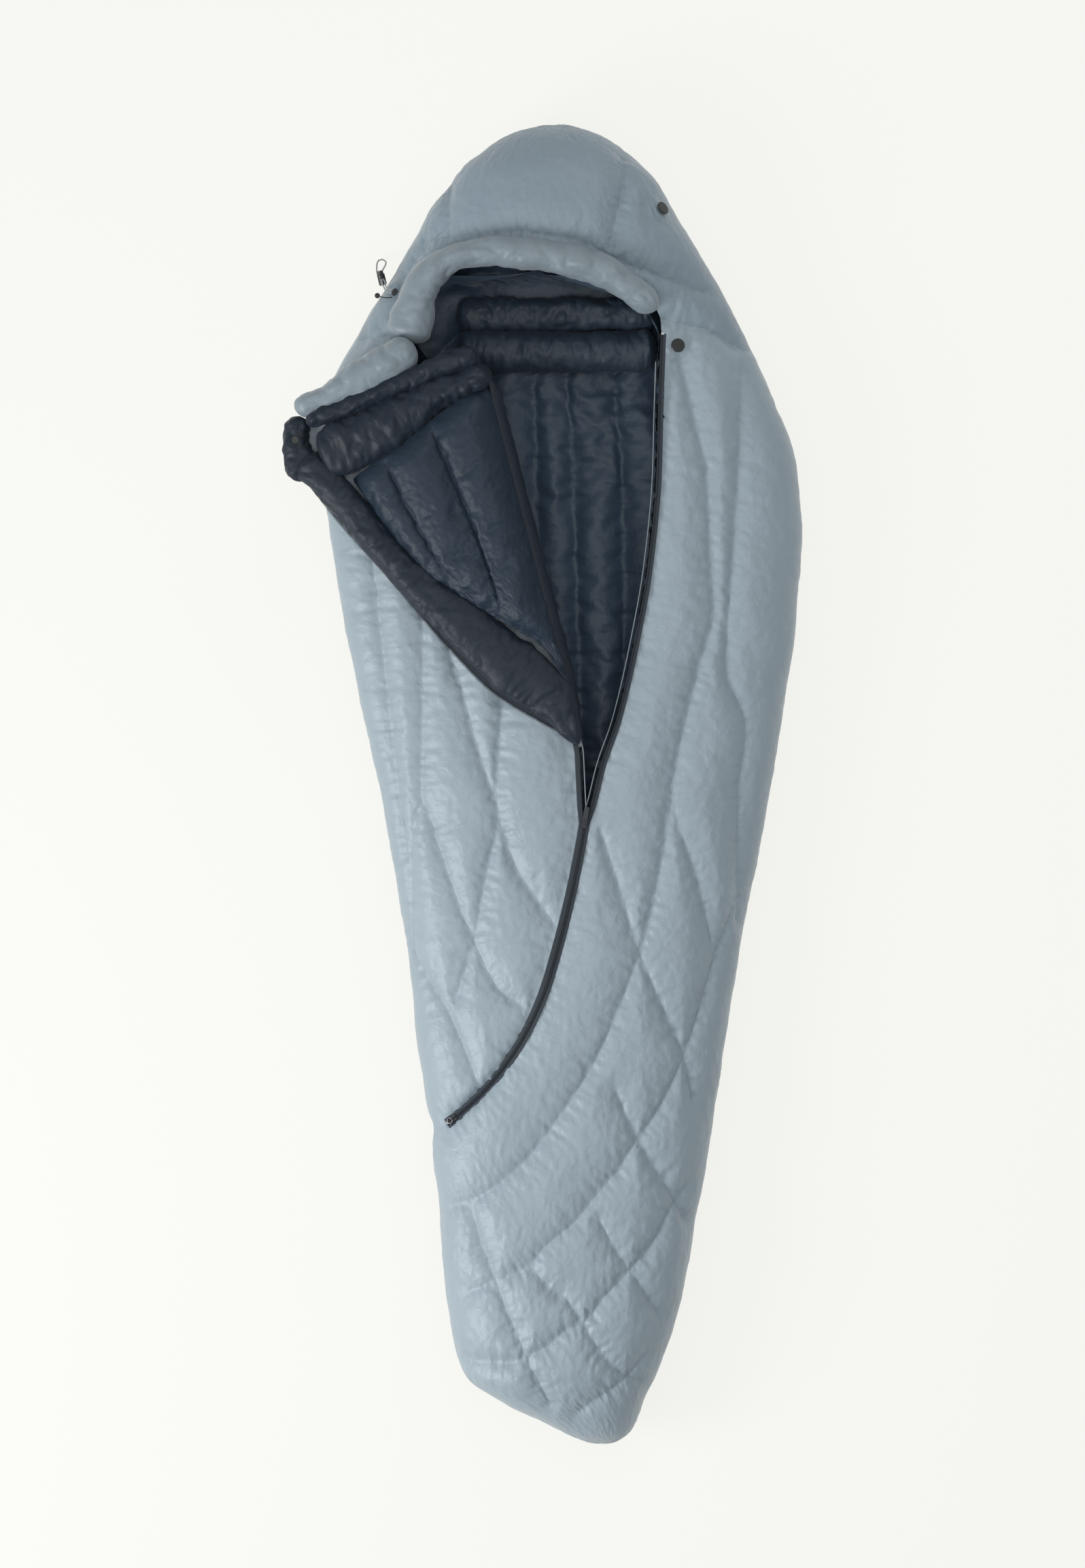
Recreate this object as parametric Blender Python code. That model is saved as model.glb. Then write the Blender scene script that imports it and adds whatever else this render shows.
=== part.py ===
"""A hooded mummy sleeping bag lying on its back, its left front folded open.

Metres, +Z up, +X to the sleeper's left as seen from above, +Y toward the hood.
The origin is on the floor under the middle of the bag. Each quilted panel has an
outer shell, a down fill and a lining. The front flap folds on a line from the
neck to the bottom of the opening, the zip sliders run along the closed chain,
their pulls turn, and the cord lock slides and is pressed open.
"""

import math

import bmesh
import bpy
import numpy as np
from mathutils import Matrix, Vector

# ---- Overall sizes. The outline below is drawn for the pattern sizes and graded to these.
BAG_LENGTH = 2.10
BAG_WIDTH = 0.742
BAG_HEIGHT = 0.178
PATTERN_LENGTH = 2.10
PATTERN_WIDTH = 0.742
PATTERN_HEIGHT = 0.178

# ---- Quilted wall
WALL = 0.045
FABRIC = 0.002
LAYER_GAP = 0.0008
HOOD_LOFT_GAP = 0.009
SEAM_ANGLE = math.radians(0.5)
SEAM_GAP = 0.0025
SIDE_SEAM = math.radians(190)
SQUARENESS = 0.8
FLATTENED = 0.012

# ---- Zip
TAPE_HALF = 0.0075
TAPE_THICKNESS = 0.001
COIL_HALF = 0.0032
COIL_HEIGHT = 0.0026
COIL_TO_TAPE = 0.0003
CHAIN_GAP = 0.0012
QUILT_TO_ZIP = 0.0100
ZIP_DEPTH = 0.004
ZIP_LEG_RADIUS = 1.9
SLIDER_LENGTH = 0.014
SLIDER_WIDTH = 0.010
PLATE = 0.0014
PULL_LENGTH = 0.027
PULL_WIDTH = 0.008
RING_RADIUS = 0.0043
PIPING_RADIUS = 0.0012

# ---- Padded tubes
RIM_RADIUS = 0.026
FLAP_RIM_RADIUS = 0.021
COLLAR_UPPER_RADIUS = 0.024
COLLAR_LOWER_RADIUS = 0.030
FLAP_COLLAR_UPPER_RADIUS = 0.014
FLAP_COLLAR_LOWER_RADIUS = 0.025
DRAFT_RADIUS = 0.014
FLAP_STRIP = 0.064
FLAP_THICKNESS = 0.042
FLAP_LIFT = 0.003
FLAP_DROOP = 0.018
SOFT_GAP = 0.003

# ---- Snaps and cords
SNAP_RADIUS = 0.011
SNAP_HEIGHT = 0.003
SOCKET_RADIUS = 0.006
LOOP_CORD = 0.0024
TAIL_CORD = 0.0018
CHANNEL_CORD = 0.0024
LOCK_RADIUS = 0.0062
LOCK_LENGTH = 0.018
LOCK_BORE = 0.0050
PLUNGER_TRAVEL = 0.003
PLUNGER_CLEARANCE = 0.0003
STRAND_SPACING = 0.0030
SPRING_RADIUS = 0.0035
SPRING_WIRE = 0.0004

# Colours of the cloths and hardware, as 0 to 255
SHELL = (165, 178, 186)
HOOD = (130, 144, 155)
DARK = (48, 58, 68)
DOWN = (235, 233, 226)
ZIP = (38, 47, 56)
BLACK = (24, 25, 25)
PALE = (205, 210, 212)
STEEL = (120, 124, 128)

# The outline: y, left x, right x, underside z, top z
OUTLINE = [
    (-1.050, 0.085, 0.110, 0.085, 0.105),
    (-1.035, 0.045, 0.132, 0.045, 0.140),
    (-1.010, -0.005, 0.147, 0.018, 0.165),
    (-0.983, -0.058, 0.158, 0.006, 0.178),
    (-0.940, -0.127, 0.180, 0.002, 0.186),
    (-0.850, -0.145, 0.210, 0.002, 0.188),
    (-0.640, -0.167, 0.253, 0.000, 0.182),
    (-0.350, -0.204, 0.298, 0.000, 0.178),
    (-0.050, -0.250, 0.354, 0.000, 0.178),
    (0.200, -0.302, 0.394, 0.000, 0.178),
    (0.380, -0.333, 0.411, 0.000, 0.178),
    (0.500, -0.345, 0.402, 0.000, 0.178),
    (0.600, -0.343, 0.371, 0.000, 0.178),
    (0.720, -0.292, 0.318, 0.000, 0.178),
    (0.790, -0.246, 0.280, 0.001, 0.188),
    (0.880, -0.194, 0.225, 0.002, 0.200),
    (0.966, -0.143, 0.175, 0.008, 0.186),
    (1.010, -0.097, 0.131, 0.025, 0.158),
    (1.035, -0.050, 0.090, 0.045, 0.130),
    (1.050, 0.005, 0.035, 0.075, 0.098),
]

NECK_Y = 0.720
FOOT_Y = -0.800
HOOD_FRONT_Y = 0.868

# Lines drawn on the pattern, as x, y
ZIP_START = (0.066, -0.063)
ZIP_TURN = (0.011, -0.303)
ZIP_FOOT = (-0.152, -0.540)
ZIP_FOOT_Z = 0.134
RIGHT_HALF = [(0.077, -0.030), (0.092, 0.030), (0.116, 0.100), (0.144, 0.219),
              (0.167, 0.350), (0.180, 0.489), (0.183, 0.600), (0.187, 0.712)]
LEFT_HALF = [(0.063, -0.030), (0.061, 0.010), (0.059, 0.050)]
CREASE_FOOT = (0.063, 0.062)
CREASE_NECK = (-0.105, 0.706)
FLAP_EDGE = [(0.030, 0.080), (-0.015, 0.103), (-0.100, 0.178), (-0.196, 0.265),
             (-0.297, 0.371), (-0.349, 0.442), (-0.388, 0.505)]
FLAP_TOP_OUTER = (-0.360, 0.468)
RIM_LINE = [(0.166, 0.752, 0.186), (0.1115, 0.787, 0.190), (0.057, 0.809, 0.193),
            (-0.008, 0.823, 0.194), (-0.062, 0.830, 0.194), (-0.116, 0.825, 0.193),
            (-0.159, 0.805, 0.193), (-0.182, 0.771, 0.196), (-0.190, 0.735, 0.206),
            (-0.200, 0.698, 0.207)]
FLAP_RIM_LINE = [(-0.226, 0.654), (-0.267, 0.635), (-0.322, 0.611), (-0.384, 0.598)]
HOOD_SEAM_LEFT = [(-0.156, HOOD_FRONT_Y), (-0.143, 0.987), (0.012, 1.050)]
HOOD_SEAM_RIGHT = [(0.113, HOOD_FRONT_Y), (0.128, 0.985), (0.028, 1.050)]
OPENING_LEFT = [(-0.236, NECK_Y), (-0.224, 0.775), (-0.196, 0.825), (-0.160, HOOD_FRONT_Y)]
OPENING_RIGHT = [(0.200, NECK_Y), (0.198, 0.777), (0.145, 0.820), (0.117, HOOD_FRONT_Y)]
COLLAR_SPAN = (-0.150, 0.165)
COLLAR_UPPER_Y = 0.758
COLLAR_LOWER_Y = 0.698
SNAP_AT = (0.214, 0.694)
SIDE_CAP_Y = 0.912
EYELET_AT = (-0.234, 0.781)
LOCK_CENTRE = (-0.2560, 0.8040, 0.1120)
LOCK_DROP = (-0.12, 0.22, -0.97)
LOCK_ALONG = (-0.25, 0.97, 0.0)


# ---- Grading and curves

def graded(x, y, z=0.0):
    """A point of the pattern at the bag's own size."""
    return Vector((
        x * BAG_WIDTH / PATTERN_WIDTH,
        y * BAG_LENGTH / PATTERN_LENGTH,
        z * BAG_HEIGHT / PATTERN_HEIGHT,
    ))


def steady_slopes(knots, values):
    """Slopes that carry a smooth curve through values without overshoot."""
    step = np.diff(knots)
    rise = np.diff(values) / step
    slopes = np.zeros(len(values))
    slopes[0], slopes[-1] = rise[0], rise[-1]
    for i in range(1, len(values) - 1):
        if rise[i - 1] * rise[i] > 0:
            before = 2 * step[i] + step[i - 1]
            after = step[i] + 2 * step[i - 1]
            slopes[i] = (before + after) / (before / rise[i - 1] + after / rise[i])
    return slopes


def smooth_value(knots, values, at):
    """The smooth curve's value at one place."""
    at = min(max(at, knots[0]), knots[-1])
    i = min(max(int(np.searchsorted(knots, at)) - 1, 0), len(knots) - 2)
    slopes = steady_slopes(knots, values)
    width = knots[i + 1] - knots[i]
    t = (at - knots[i]) / width
    return (
        values[i] * (2 * t**3 - 3 * t**2 + 1)
        + slopes[i] * width * (t**3 - 2 * t**2 + t)
        + values[i + 1] * (3 * t**2 - 2 * t**3)
        + slopes[i + 1] * width * (t**3 - t**2)
    )


def through(points, count):
    """Evenly spaced points on a smooth curve through the given ones."""
    points = [Vector(point) for point in points]
    lengths = [0.0]
    for a, b in zip(points, points[1:]):
        lengths.append(lengths[-1] + (b - a).length)
    columns = [np.array([point[k] for point in points]) for k in range(3)]
    knots = np.array(lengths)
    places = np.linspace(0, lengths[-1], count)
    return [Vector([smooth_value(knots, column, at) for column in columns]) for at in places]


def mix(a, b, share):
    return a + (b - a) * share


def flat(points):
    """Pattern points at the bag's size, as 3-D points at z 0."""
    return [graded(x, y) for x, y in points]


def x_on_line(points, y):
    """The x of a line drawn on the pattern where it crosses y."""
    line = sorted((graded(*point)[1], graded(*point)[0]) for point in points)
    return float(np.interp(y, [p[0] for p in line], [p[1] for p in line]))


# ---- The bag's section

TABLE = np.array([
    (graded(0, y).y, graded(left, 0).x, graded(right, 0).x, graded(0, 0, low).z, graded(0, 0, top).z)
    for y, left, right, low, top in OUTLINE
])
NECK = graded(0, NECK_Y).y
FOOT = graded(0, FOOT_Y).y
HOOD_FRONT = graded(0, HOOD_FRONT_Y).y
TOE = TABLE[0][0]
CROWN = TABLE[-1][0]


def section(y):
    """Centre x, half width, centre z, half height and underside of the outer surface at y."""
    left, right, low, top = (smooth_value(TABLE[:, 0], TABLE[:, k], y) for k in (1, 2, 3, 4))
    half = (top - low + min(FLATTENED, 0.1 * (top - low))) / 2
    return (left + right) / 2, (right - left) / 2, top - half, half, low


def power(value, exponent):
    return math.copysign(abs(value) ** exponent, value)


def outer_point(angle, y):
    """A point of the outer surface; angle 0 is the right side and 90 degrees the top."""
    cx, half_width, cz, half_height, low = section(y)
    return Vector((
        cx + half_width * power(math.cos(angle), SQUARENESS),
        y,
        max(cz + half_height * power(math.sin(angle), SQUARENESS), low),
    ))


def dome(y):
    """The place from which the hood or the foot shrinks for its inner layers, or None between them."""
    if y > NECK:
        return NECK, CROWN - NECK
    if y < FOOT:
        return FOOT, FOOT - TOE
    return None


def wall_point(angle, y, depth):
    """A point of the bag's wall, at a depth below its outer surface."""
    ends = dome(y)
    if ends is None:
        cx, half_width, cz, half_height, low = section(y)
        return Vector((
            cx + (half_width - depth) * power(math.cos(angle), SQUARENESS),
            y,
            max(cz + (half_height - depth) * power(math.sin(angle), SQUARENESS), low + depth),
        ))
    root, reach = ends
    cx, half_width, cz, half_height, low = section(root)
    point = outer_point(angle, y)
    drop = half_height if point.z > cz else cz - low
    return Vector((
        cx + (point.x - cx) * (1 - depth / half_width),
        root + (point.y - root) * (1 - depth / reach),
        cz + (point.z - cz) * (1 - depth / drop),
    ))


def angle_at(x, y, depth=0.0):
    """The angle, on the top half, at which the wall at this depth has this x."""
    ends = dome(y)
    cx, half_width = section(y)[:2]
    if ends is None:
        half_width -= depth
    else:
        root_cx, root_width = section(ends[0])[:2]
        x = root_cx + (x - root_cx) / (1 - depth / root_width)
    share = min(max((x - cx) / half_width, -1.0), 1.0)
    return math.acos(power(share, 1 / SQUARENESS))


def surface_frame(x, y, lift):
    """A frame on the top of the bag at x and y, its z along the surface's normal."""
    angle = angle_at(x, y)
    along = outer_point(angle, y + 0.004) - outer_point(angle, y - 0.004)
    around = outer_point(angle - 0.01, y) - outer_point(angle + 0.01, y)
    normal = around.cross(along).normalized()
    return frame_at(outer_point(angle, y) + normal * lift, along, normal)


# ---- Objects

for old in list(bpy.data.objects):
    bpy.data.objects.remove(old)

scene = bpy.context.scene
bag = bpy.data.collections.new("mummy_sleeping_bag")
cutters = bpy.data.collections.new("cutters")
scene.collection.children.link(bag)
scene.collection.children.link(cutters)


def linear(level):
    """One channel of a colour, from 0 to 255 to the renderer's scale."""
    level = level / 255
    return level / 12.92 if level <= 0.04045 else ((level + 0.055) / 1.055) ** 2.4


def finished(obj, colour, roughness=0.6, metallic=0.0, smooth=True):
    """Puts a piece in the bag's collection with a material of its own."""
    finish = bpy.data.materials.new(obj.name + "_finish")
    finish.use_nodes = True
    shader = finish.node_tree.nodes["Principled BSDF"]
    shader.inputs["Base Color"].default_value = (*[linear(level) for level in colour], 1)
    shader.inputs["Roughness"].default_value = roughness
    shader.inputs["Metallic"].default_value = metallic
    obj.data.materials.append(finish)
    bag.objects.link(obj)
    if smooth and obj.type == "MESH":
        obj.data.shade_smooth()
        obj.data.set_sharp_from_angle(angle=math.radians(40))
    return obj


def from_bmesh(name, bm):
    bmesh.ops.recalc_face_normals(bm, faces=bm.faces)
    mesh = bpy.data.meshes.new(name)
    bm.to_mesh(mesh)
    bm.free()
    return bpy.data.objects.new(name, mesh)


def loft(name, rings, strip=False):
    """Closed rings of points joined one to the next; strip ends are filled as a ladder.

    A strip's two sides are split along matching diagonals, so that layers stay parallel.
    """
    bm = bmesh.new()
    rows = [[bm.verts.new(point) for point in ring] for ring in rings]
    count = len(rows[0])
    for row, following in zip(rows, rows[1:]):
        for i in range(count):
            after = (i + 1) % count
            corners = (row[i], row[after], following[after], following[i])
            if not strip:
                bm.faces.new(corners)
                continue
            a, b, c, d = corners if i < count // 2 else corners[1:] + corners[:1]
            bm.faces.new((a, b, c))
            bm.faces.new((a, c, d))
    for row in (rows[0], rows[-1]):
        if not strip:
            bm.faces.new(row)
            continue
        for i in range(count // 2 - 1):
            bm.faces.new((row[i], row[i + 1], row[count - 2 - i], row[count - 1 - i]))
    return from_bmesh(name, bm)


def panel(name, stations, start, end, depths, colour, parts=7):
    """A strip of the wall between two depths; start and end give its edge angles at y and depth."""
    rings = []
    for y in stations:
        ring = []
        for depth, order in ((depths[0], range(parts + 1)), (depths[1], reversed(range(parts + 1)))):
            for i in order:
                angle = mix(start(y, depth), end(y, depth), i / parts)
                ring.append(wall_point(angle, y, depth))
        rings.append(ring)
    return finished(loft(name, rings, strip=True), colour)


def cup(name, stations, depths, colour, around=18):
    """A closed end of the wall between two depths; the stations run from the mouth to the tip."""
    turns = [2 * math.pi * i / around for i in range(around)]
    bm = bmesh.new()
    sides = [[[bm.verts.new(wall_point(turn, y, depth)) for turn in turns] for y in stations]
             for depth in depths]
    for rows in sides:
        for row, following in zip(rows, rows[1:]):
            for i in range(around):
                after = (i + 1) % around
                bm.faces.new((row[i], row[after], following[after]))
                bm.faces.new((row[i], following[after], following[i]))
        bm.faces.new(rows[-1])
    for i in range(around):
        after = (i + 1) % around
        bm.faces.new((sides[0][0][i], sides[0][0][after], sides[1][0][after], sides[1][0][i]))
    return finished(from_bmesh(name, bm), colour)


def tube(name, points, radius, colour, sides=2, tapers=None, roughness=0.6):
    """A round tube along points; tapers gives the share of the radius at each point."""
    curve = bpy.data.curves.new(name, "CURVE")
    curve.dimensions = "3D"
    curve.bevel_depth = radius
    curve.bevel_resolution = sides
    curve.use_fill_caps = True
    spline = curve.splines.new("POLY")
    spline.points.add(len(points) - 1)
    for i, point in enumerate(points):
        spline.points[i].co = (*point, 1)
        spline.points[i].radius = tapers[i] if tapers else 1.0
    return finished(bpy.data.objects.new(name, curve), colour, roughness)


def cushion_tapers(count, least=0.55):
    """Shares of the radius for a padded tube that closes down at both ends."""
    shares = [1.0] * count
    shares[0] = shares[-1] = least
    shares[1] = shares[-2] = mix(least, 1.0, 0.7)
    return shares


def frame_at(origin, along, up):
    """A frame with x across, y along and z up, for hardware placed on the zip."""
    along = along.normalized()
    across = along.cross(up).normalized()
    up = across.cross(along)
    frame = Matrix((across, along, up)).transposed().to_4x4()
    frame.translation = origin
    return frame


def box_mesh(name, low, high, frame, bevel=0.0):
    """A box between two corners of a frame, its edges rounded by bevel."""
    bm = bmesh.new()
    bmesh.ops.create_cube(bm, size=1.0)
    size = Vector(high) - Vector(low)
    bmesh.ops.scale(bm, vec=size, verts=bm.verts)
    bmesh.ops.translate(bm, vec=(Vector(high) + Vector(low)) / 2, verts=bm.verts)
    if bevel:
        bmesh.ops.bevel(bm, geom=list(bm.edges), offset=bevel, segments=1, profile=0.5,
                        affect="EDGES", material=-1)
    bmesh.ops.transform(bm, matrix=frame, verts=bm.verts)
    return from_bmesh(name, bm)


def disc_mesh(name, radius, low, high, frame, bevel=0.0, segments=18):
    """A disc or cylinder on a frame's z axis between two heights."""
    bm = bmesh.new()
    bmesh.ops.create_cone(bm, cap_ends=True, segments=segments, radius1=radius, radius2=radius,
                          depth=high - low)
    bmesh.ops.translate(bm, vec=(0, 0, (low + high) / 2), verts=bm.verts)
    if bevel:
        rims = [edge for edge in bm.edges if len(edge.link_faces[0].verts) > 4
                or len(edge.link_faces[1].verts) > 4]
        bmesh.ops.bevel(bm, geom=rims, offset=bevel, segments=1, profile=0.5,
                        affect="EDGES", material=-1)
    bmesh.ops.transform(bm, matrix=frame, verts=bm.verts)
    return from_bmesh(name, bm)


def combine(obj, others, operation):
    """Joins helpers to a piece, or cuts them from it."""
    for other in others:
        cutters.objects.link(other)
        other.hide_render = True
        other.display_type = "WIRE"
        boolean = obj.modifiers.new(other.name, "BOOLEAN")
        boolean.operation = operation
        boolean.solver = "EXACT"
        boolean.object = other
    return obj


def on_axis(name, origin, objects, parent=None):
    """An empty on a joint's axis that carries the pieces that move about it."""
    empty = bpy.data.objects.new(name, None)
    empty.empty_display_size = 0.02
    start = parent.location if parent else Vector()
    empty.location = origin - start
    empty.parent = parent
    bag.objects.link(empty)
    empty["world"] = tuple(origin)
    for obj in objects:
        obj.parent = empty
        obj.matrix_parent_inverse = Matrix.Translation(-origin)
    return empty


# ---- The zip's path: two tangent arcs, then the two open halves

ZIP_TOP = graded(0, 0, PATTERN_HEIGHT).z - ZIP_DEPTH


def zip_arcs():
    """The closed chain from the foot to the main slider, with each arc's centre and axis."""
    start = graded(*ZIP_START)
    turn = graded(*ZIP_TURN)
    foot = graded(*ZIP_FOOT, ZIP_FOOT_Z)
    start.z = turn.z = ZIP_TOP
    up = Vector((0, 0, 1))
    chord = turn - start
    inward = chord.cross(up).normalized()
    if inward.x > 0:
        inward.negate()
    leg = (start + turn) / 2 + inward * math.sqrt(ZIP_LEG_RADIUS**2 - (chord.length / 2) ** 2)
    heading = (turn - leg).cross(up).normalized()
    if heading.y > 0:
        heading.negate()
    reach = foot - turn
    tilt = heading.cross(reach).normalized()
    if tilt.z < 0:
        tilt.negate()
    toward = tilt.cross(heading).normalized()
    if toward.dot(reach) < 0:
        toward.negate()
    radius = reach.length_squared / (2 * toward.dot(reach))
    bend = turn + toward * radius
    return {
        "leg": {"from": start, "to": turn, "centre": leg, "axis": up},
        "bend": {"from": turn, "to": foot, "centre": bend, "axis": tilt},
    }


ARCS = zip_arcs()


def arc_points(arc, count):
    """Points along an arc from its start to its end."""
    a = arc["from"] - arc["centre"]
    b = arc["to"] - arc["centre"]
    turn = a.angle(b)
    axis = a.cross(b).normalized()
    return [
        arc["centre"] + Matrix.Rotation(turn * i / (count - 1), 3, axis) @ a for i in range(count)
    ]


def closed_chain():
    """Points and up directions of the closed chain, from the foot end to the main slider."""
    bend = arc_points(ARCS["bend"], 19)[::-1]
    leg = arc_points(ARCS["leg"], 11)[::-1]
    tilt = ARCS["bend"]["axis"]
    flat_up = ARCS["leg"]["axis"]
    ups = [tilt] * 15 + [tilt.lerp(flat_up, k / 4).normalized() for k in (1, 2, 3, 4)]
    return bend + leg[1:], ups + [flat_up] * 10


CHAIN, CHAIN_UPS = closed_chain()


def open_half(points):
    """The line of one open zip half, from the slider upward."""
    start = CHAIN[-1]
    line = [Vector((start.x, start.y, 0))] + flat(points)
    line = through(line, 26 if len(points) > 4 else 6)[1:]
    return [Vector((point.x, point.y, ZIP_TOP)) for point in line]


RIGHT_PATH = CHAIN + open_half(RIGHT_HALF)
LEFT_PATH = CHAIN + open_half(LEFT_HALF)
UP = Vector((0, 0, 1))


def path_frames(path, ups):
    """A point, the direction across and the direction up at each point of a path."""
    frames = []
    for i, point in enumerate(path):
        ahead = path[min(i + 1, len(path) - 1)] - path[max(i - 1, 0)]
        across = ahead.cross(ups[i]).normalized()
        frames.append((point, across, across.cross(ahead).normalized()))
    return frames


def swept(name, frames, profile, colour, roughness=0.6):
    """A bar along frames with the same outline, given as across and up, all the way."""
    rings = [[point + across * s + up * u for s, u in profile] for point, across, up in frames]
    return finished(loft(name, rings), colour, roughness)


def rectangle(near, far, low, high):
    return [(near, low), (far, low), (far, high), (near, high)]


def zip_half(prefix, frames, side):
    """One tape and its row of coils. Side is 1 for the right half and -1 for the left."""
    near = CHAIN_GAP / 2 * side
    tape_top = -COIL_HEIGHT / 2 - COIL_TO_TAPE
    swept(prefix + "tape", frames,
          rectangle(near, TAPE_HALF * side, tape_top - TAPE_THICKNESS, tape_top), ZIP, 0.8)
    swept(prefix + "coil", frames,
          rectangle(near, COIL_HALF * side, -COIL_HEIGHT / 2, COIL_HEIGHT / 2), ZIP, 0.4)


def edge_line(path, ups, offset):
    """A line beside a path, as the y and x that a panel's edge follows."""
    points = [point + across * offset for point, across, _ in path_frames(path, ups)]
    points = sorted((point.y, point.x) for point in points)
    return [p[0] for p in points], [p[1] for p in points]


RIGHT_UPS = CHAIN_UPS + [UP] * 25
LEFT_UPS = CHAIN_UPS + [UP] * 5
RIGHT_EDGE = edge_line(RIGHT_PATH, RIGHT_UPS, QUILT_TO_ZIP)
LEFT_EDGE = edge_line(LEFT_PATH, LEFT_UPS, -QUILT_TO_ZIP)
MAIN_EDGE_END = RIGHT_EDGE[0][0] - SEAM_GAP
EDGE_TURN = 0.014

# ---- The fold line of the flap

FOLD_FOOT = graded(*CREASE_FOOT)
FOLD_NECK = graded(*CREASE_NECK)
FOLD_FOOT.z = FOLD_NECK.z = graded(0, 0, PATTERN_HEIGHT).z + FLAP_LIFT / 2
FOLD_AXIS = (FOLD_NECK - FOLD_FOOT).normalized()
FOLD_SIDE = Vector((-FOLD_AXIS.y, FOLD_AXIS.x, 0)).normalized()
FOLD_BACK = 0.004


def fold_x(y):
    share = (y - FOLD_FOOT.y) / (FOLD_NECK.y - FOLD_FOOT.y)
    return mix(FOLD_FOOT.x, FOLD_NECK.x, share) - FOLD_BACK


# ---- Panels of the body

LAYERS = {
    "shell": (0.0, FABRIC),
    "fill": (FABRIC + LAYER_GAP, WALL - FABRIC - LAYER_GAP),
    "lining": (WALL - FABRIC, WALL),
}
HOOD_LAYERS = {
    "shell": (0.0, FABRIC),
    "fill": (FABRIC + HOOD_LOFT_GAP, WALL - FABRIC - HOOD_LOFT_GAP / 2),
    "lining": (WALL - FABRIC, WALL),
}
LAYER_COLOURS = {"shell": SHELL, "fill": DOWN, "lining": DARK}


def right_side(y, depth):
    return math.pi - SIDE_SEAM + SEAM_ANGLE


def left_side(y, depth):
    return SIDE_SEAM - SEAM_ANGLE


def main_edge(y, depth):
    """Left edge of the main front: beside the zip, or the left side seam below the zip."""
    zipped = angle_at(float(np.interp(y, *RIGHT_EDGE)), y, depth)
    below = min(max((MAIN_EDGE_END - y) / EDGE_TURN, 0.0), 1.0)
    return mix(zipped, left_side(y, depth), below)


def left_edge(y, depth):
    """Right edge of the left front: beside the zip, then the fold of the flap."""
    x = float(np.interp(y, *LEFT_EDGE))
    if y > FOLD_FOOT.y - SOFT_GAP:
        x = min(x, fold_x(y))
    return angle_at(x, y, depth)


def back_start(y, depth):
    return SIDE_SEAM + SEAM_ANGLE


def back_end(y, depth):
    return 3 * math.pi - SIDE_SEAM - SEAM_ANGLE


def heights(*places):
    return [graded(0, place).y for place in places]


body_rows = heights(-0.70, -0.60, -0.45, -0.30, -0.15, 0.0, 0.15, 0.30, 0.45, 0.60)
chain_rows = [point.y for point in CHAIN[2:19:2]]
main_rows = heights(-0.70, -0.62) + [MAIN_EDGE_END - EDGE_TURN, MAIN_EDGE_END]
main_rows += chain_rows + heights(-0.20, -0.10, -0.05, 0.0, 0.1, 0.2, 0.35, 0.5, 0.62)
left_rows = [LEFT_EDGE[0][0] + SEAM_GAP] + chain_rows[1:]
left_rows += heights(-0.20, -0.10, -0.05, 0.0, 0.045, 0.1, 0.2, 0.35, 0.5, 0.62)

for layer, depths in LAYERS.items():
    tint = LAYER_COLOURS[layer]
    panel("back_" + layer, [FOOT] + body_rows + [NECK], back_start, back_end, depths, tint)
    panel("front_main_" + layer, [FOOT] + main_rows + [NECK], right_side, main_edge, depths, tint)
    panel("front_left_" + layer, left_rows + [NECK], left_edge, left_side, depths, tint, 6)

# ---- Foot box: one closed cup of each layer

foot_rows = [FOOT - SEAM_GAP] + heights(-0.87, -0.94, -0.983, -1.01, -1.035) + [TOE]
for layer, depths in LAYERS.items():
    cup("foot_box_" + layer, foot_rows, depths, LAYER_COLOURS[layer])

# ---- Hood: four shells over one fill and lining, which are open at the face


def seam_angle_at(line, shift):
    """The angle of a seam drawn on the pattern, moved by a share of the seam's gap."""
    def angle(y, depth):
        return angle_at(x_on_line(line, y), y, depth) + shift
    return angle


def hood_right_edge(y, depth):
    line = OPENING_RIGHT if y < HOOD_FRONT else HOOD_SEAM_RIGHT
    return angle_at(x_on_line(line, y), y, depth) - SEAM_ANGLE


def hood_left_edge(y, depth):
    line = OPENING_LEFT if y < HOOD_FRONT else HOOD_SEAM_LEFT
    return angle_at(x_on_line(line, y), y, depth) + SEAM_ANGLE


dome_heights = heights(0.90, 0.935, 0.97, 1.01, 1.035)
side_rows = [NECK + SEAM_GAP] + heights(0.76, 0.80, 0.835, 0.868) + dome_heights + heights(1.046)
top_rows = [HOOD_FRONT] + dome_heights + heights(1.046) + [CROWN]
shell = HOOD_LAYERS["shell"]
panel("hood_right_shell", side_rows, right_side, hood_right_edge, shell, HOOD, 5)
panel("hood_left_shell", side_rows, hood_left_edge, left_side, shell, HOOD, 4)
panel("hood_back_shell", side_rows, back_start, back_end, shell, HOOD)
panel("hood_centre_shell", top_rows, seam_angle_at(HOOD_SEAM_RIGHT, SEAM_ANGLE),
      seam_angle_at(HOOD_SEAM_LEFT, -SEAM_ANGLE), shell, HOOD, 8)


def neck_start(y, depth):
    return angle_at(x_on_line(OPENING_LEFT, y), y, depth)


def neck_end(y, depth):
    return angle_at(x_on_line(OPENING_RIGHT, y), y, depth) + 2 * math.pi


neck_rows = [NECK + SEAM_GAP] + heights(0.76, 0.80, 0.835) + [HOOD_FRONT - 2 * SEAM_GAP]
dome_rows = [HOOD_FRONT] + dome_heights + [CROWN]
for layer in ("fill", "lining"):
    depths = HOOD_LAYERS[layer]
    tint = LAYER_COLOURS[layer]
    panel("neck_" + layer, neck_rows, neck_start, neck_end, depths, tint, 18)
    cup("hood_" + layer, dome_rows, depths, tint, 24)

# ---- Face rim and the drawcord in its channel

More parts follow.
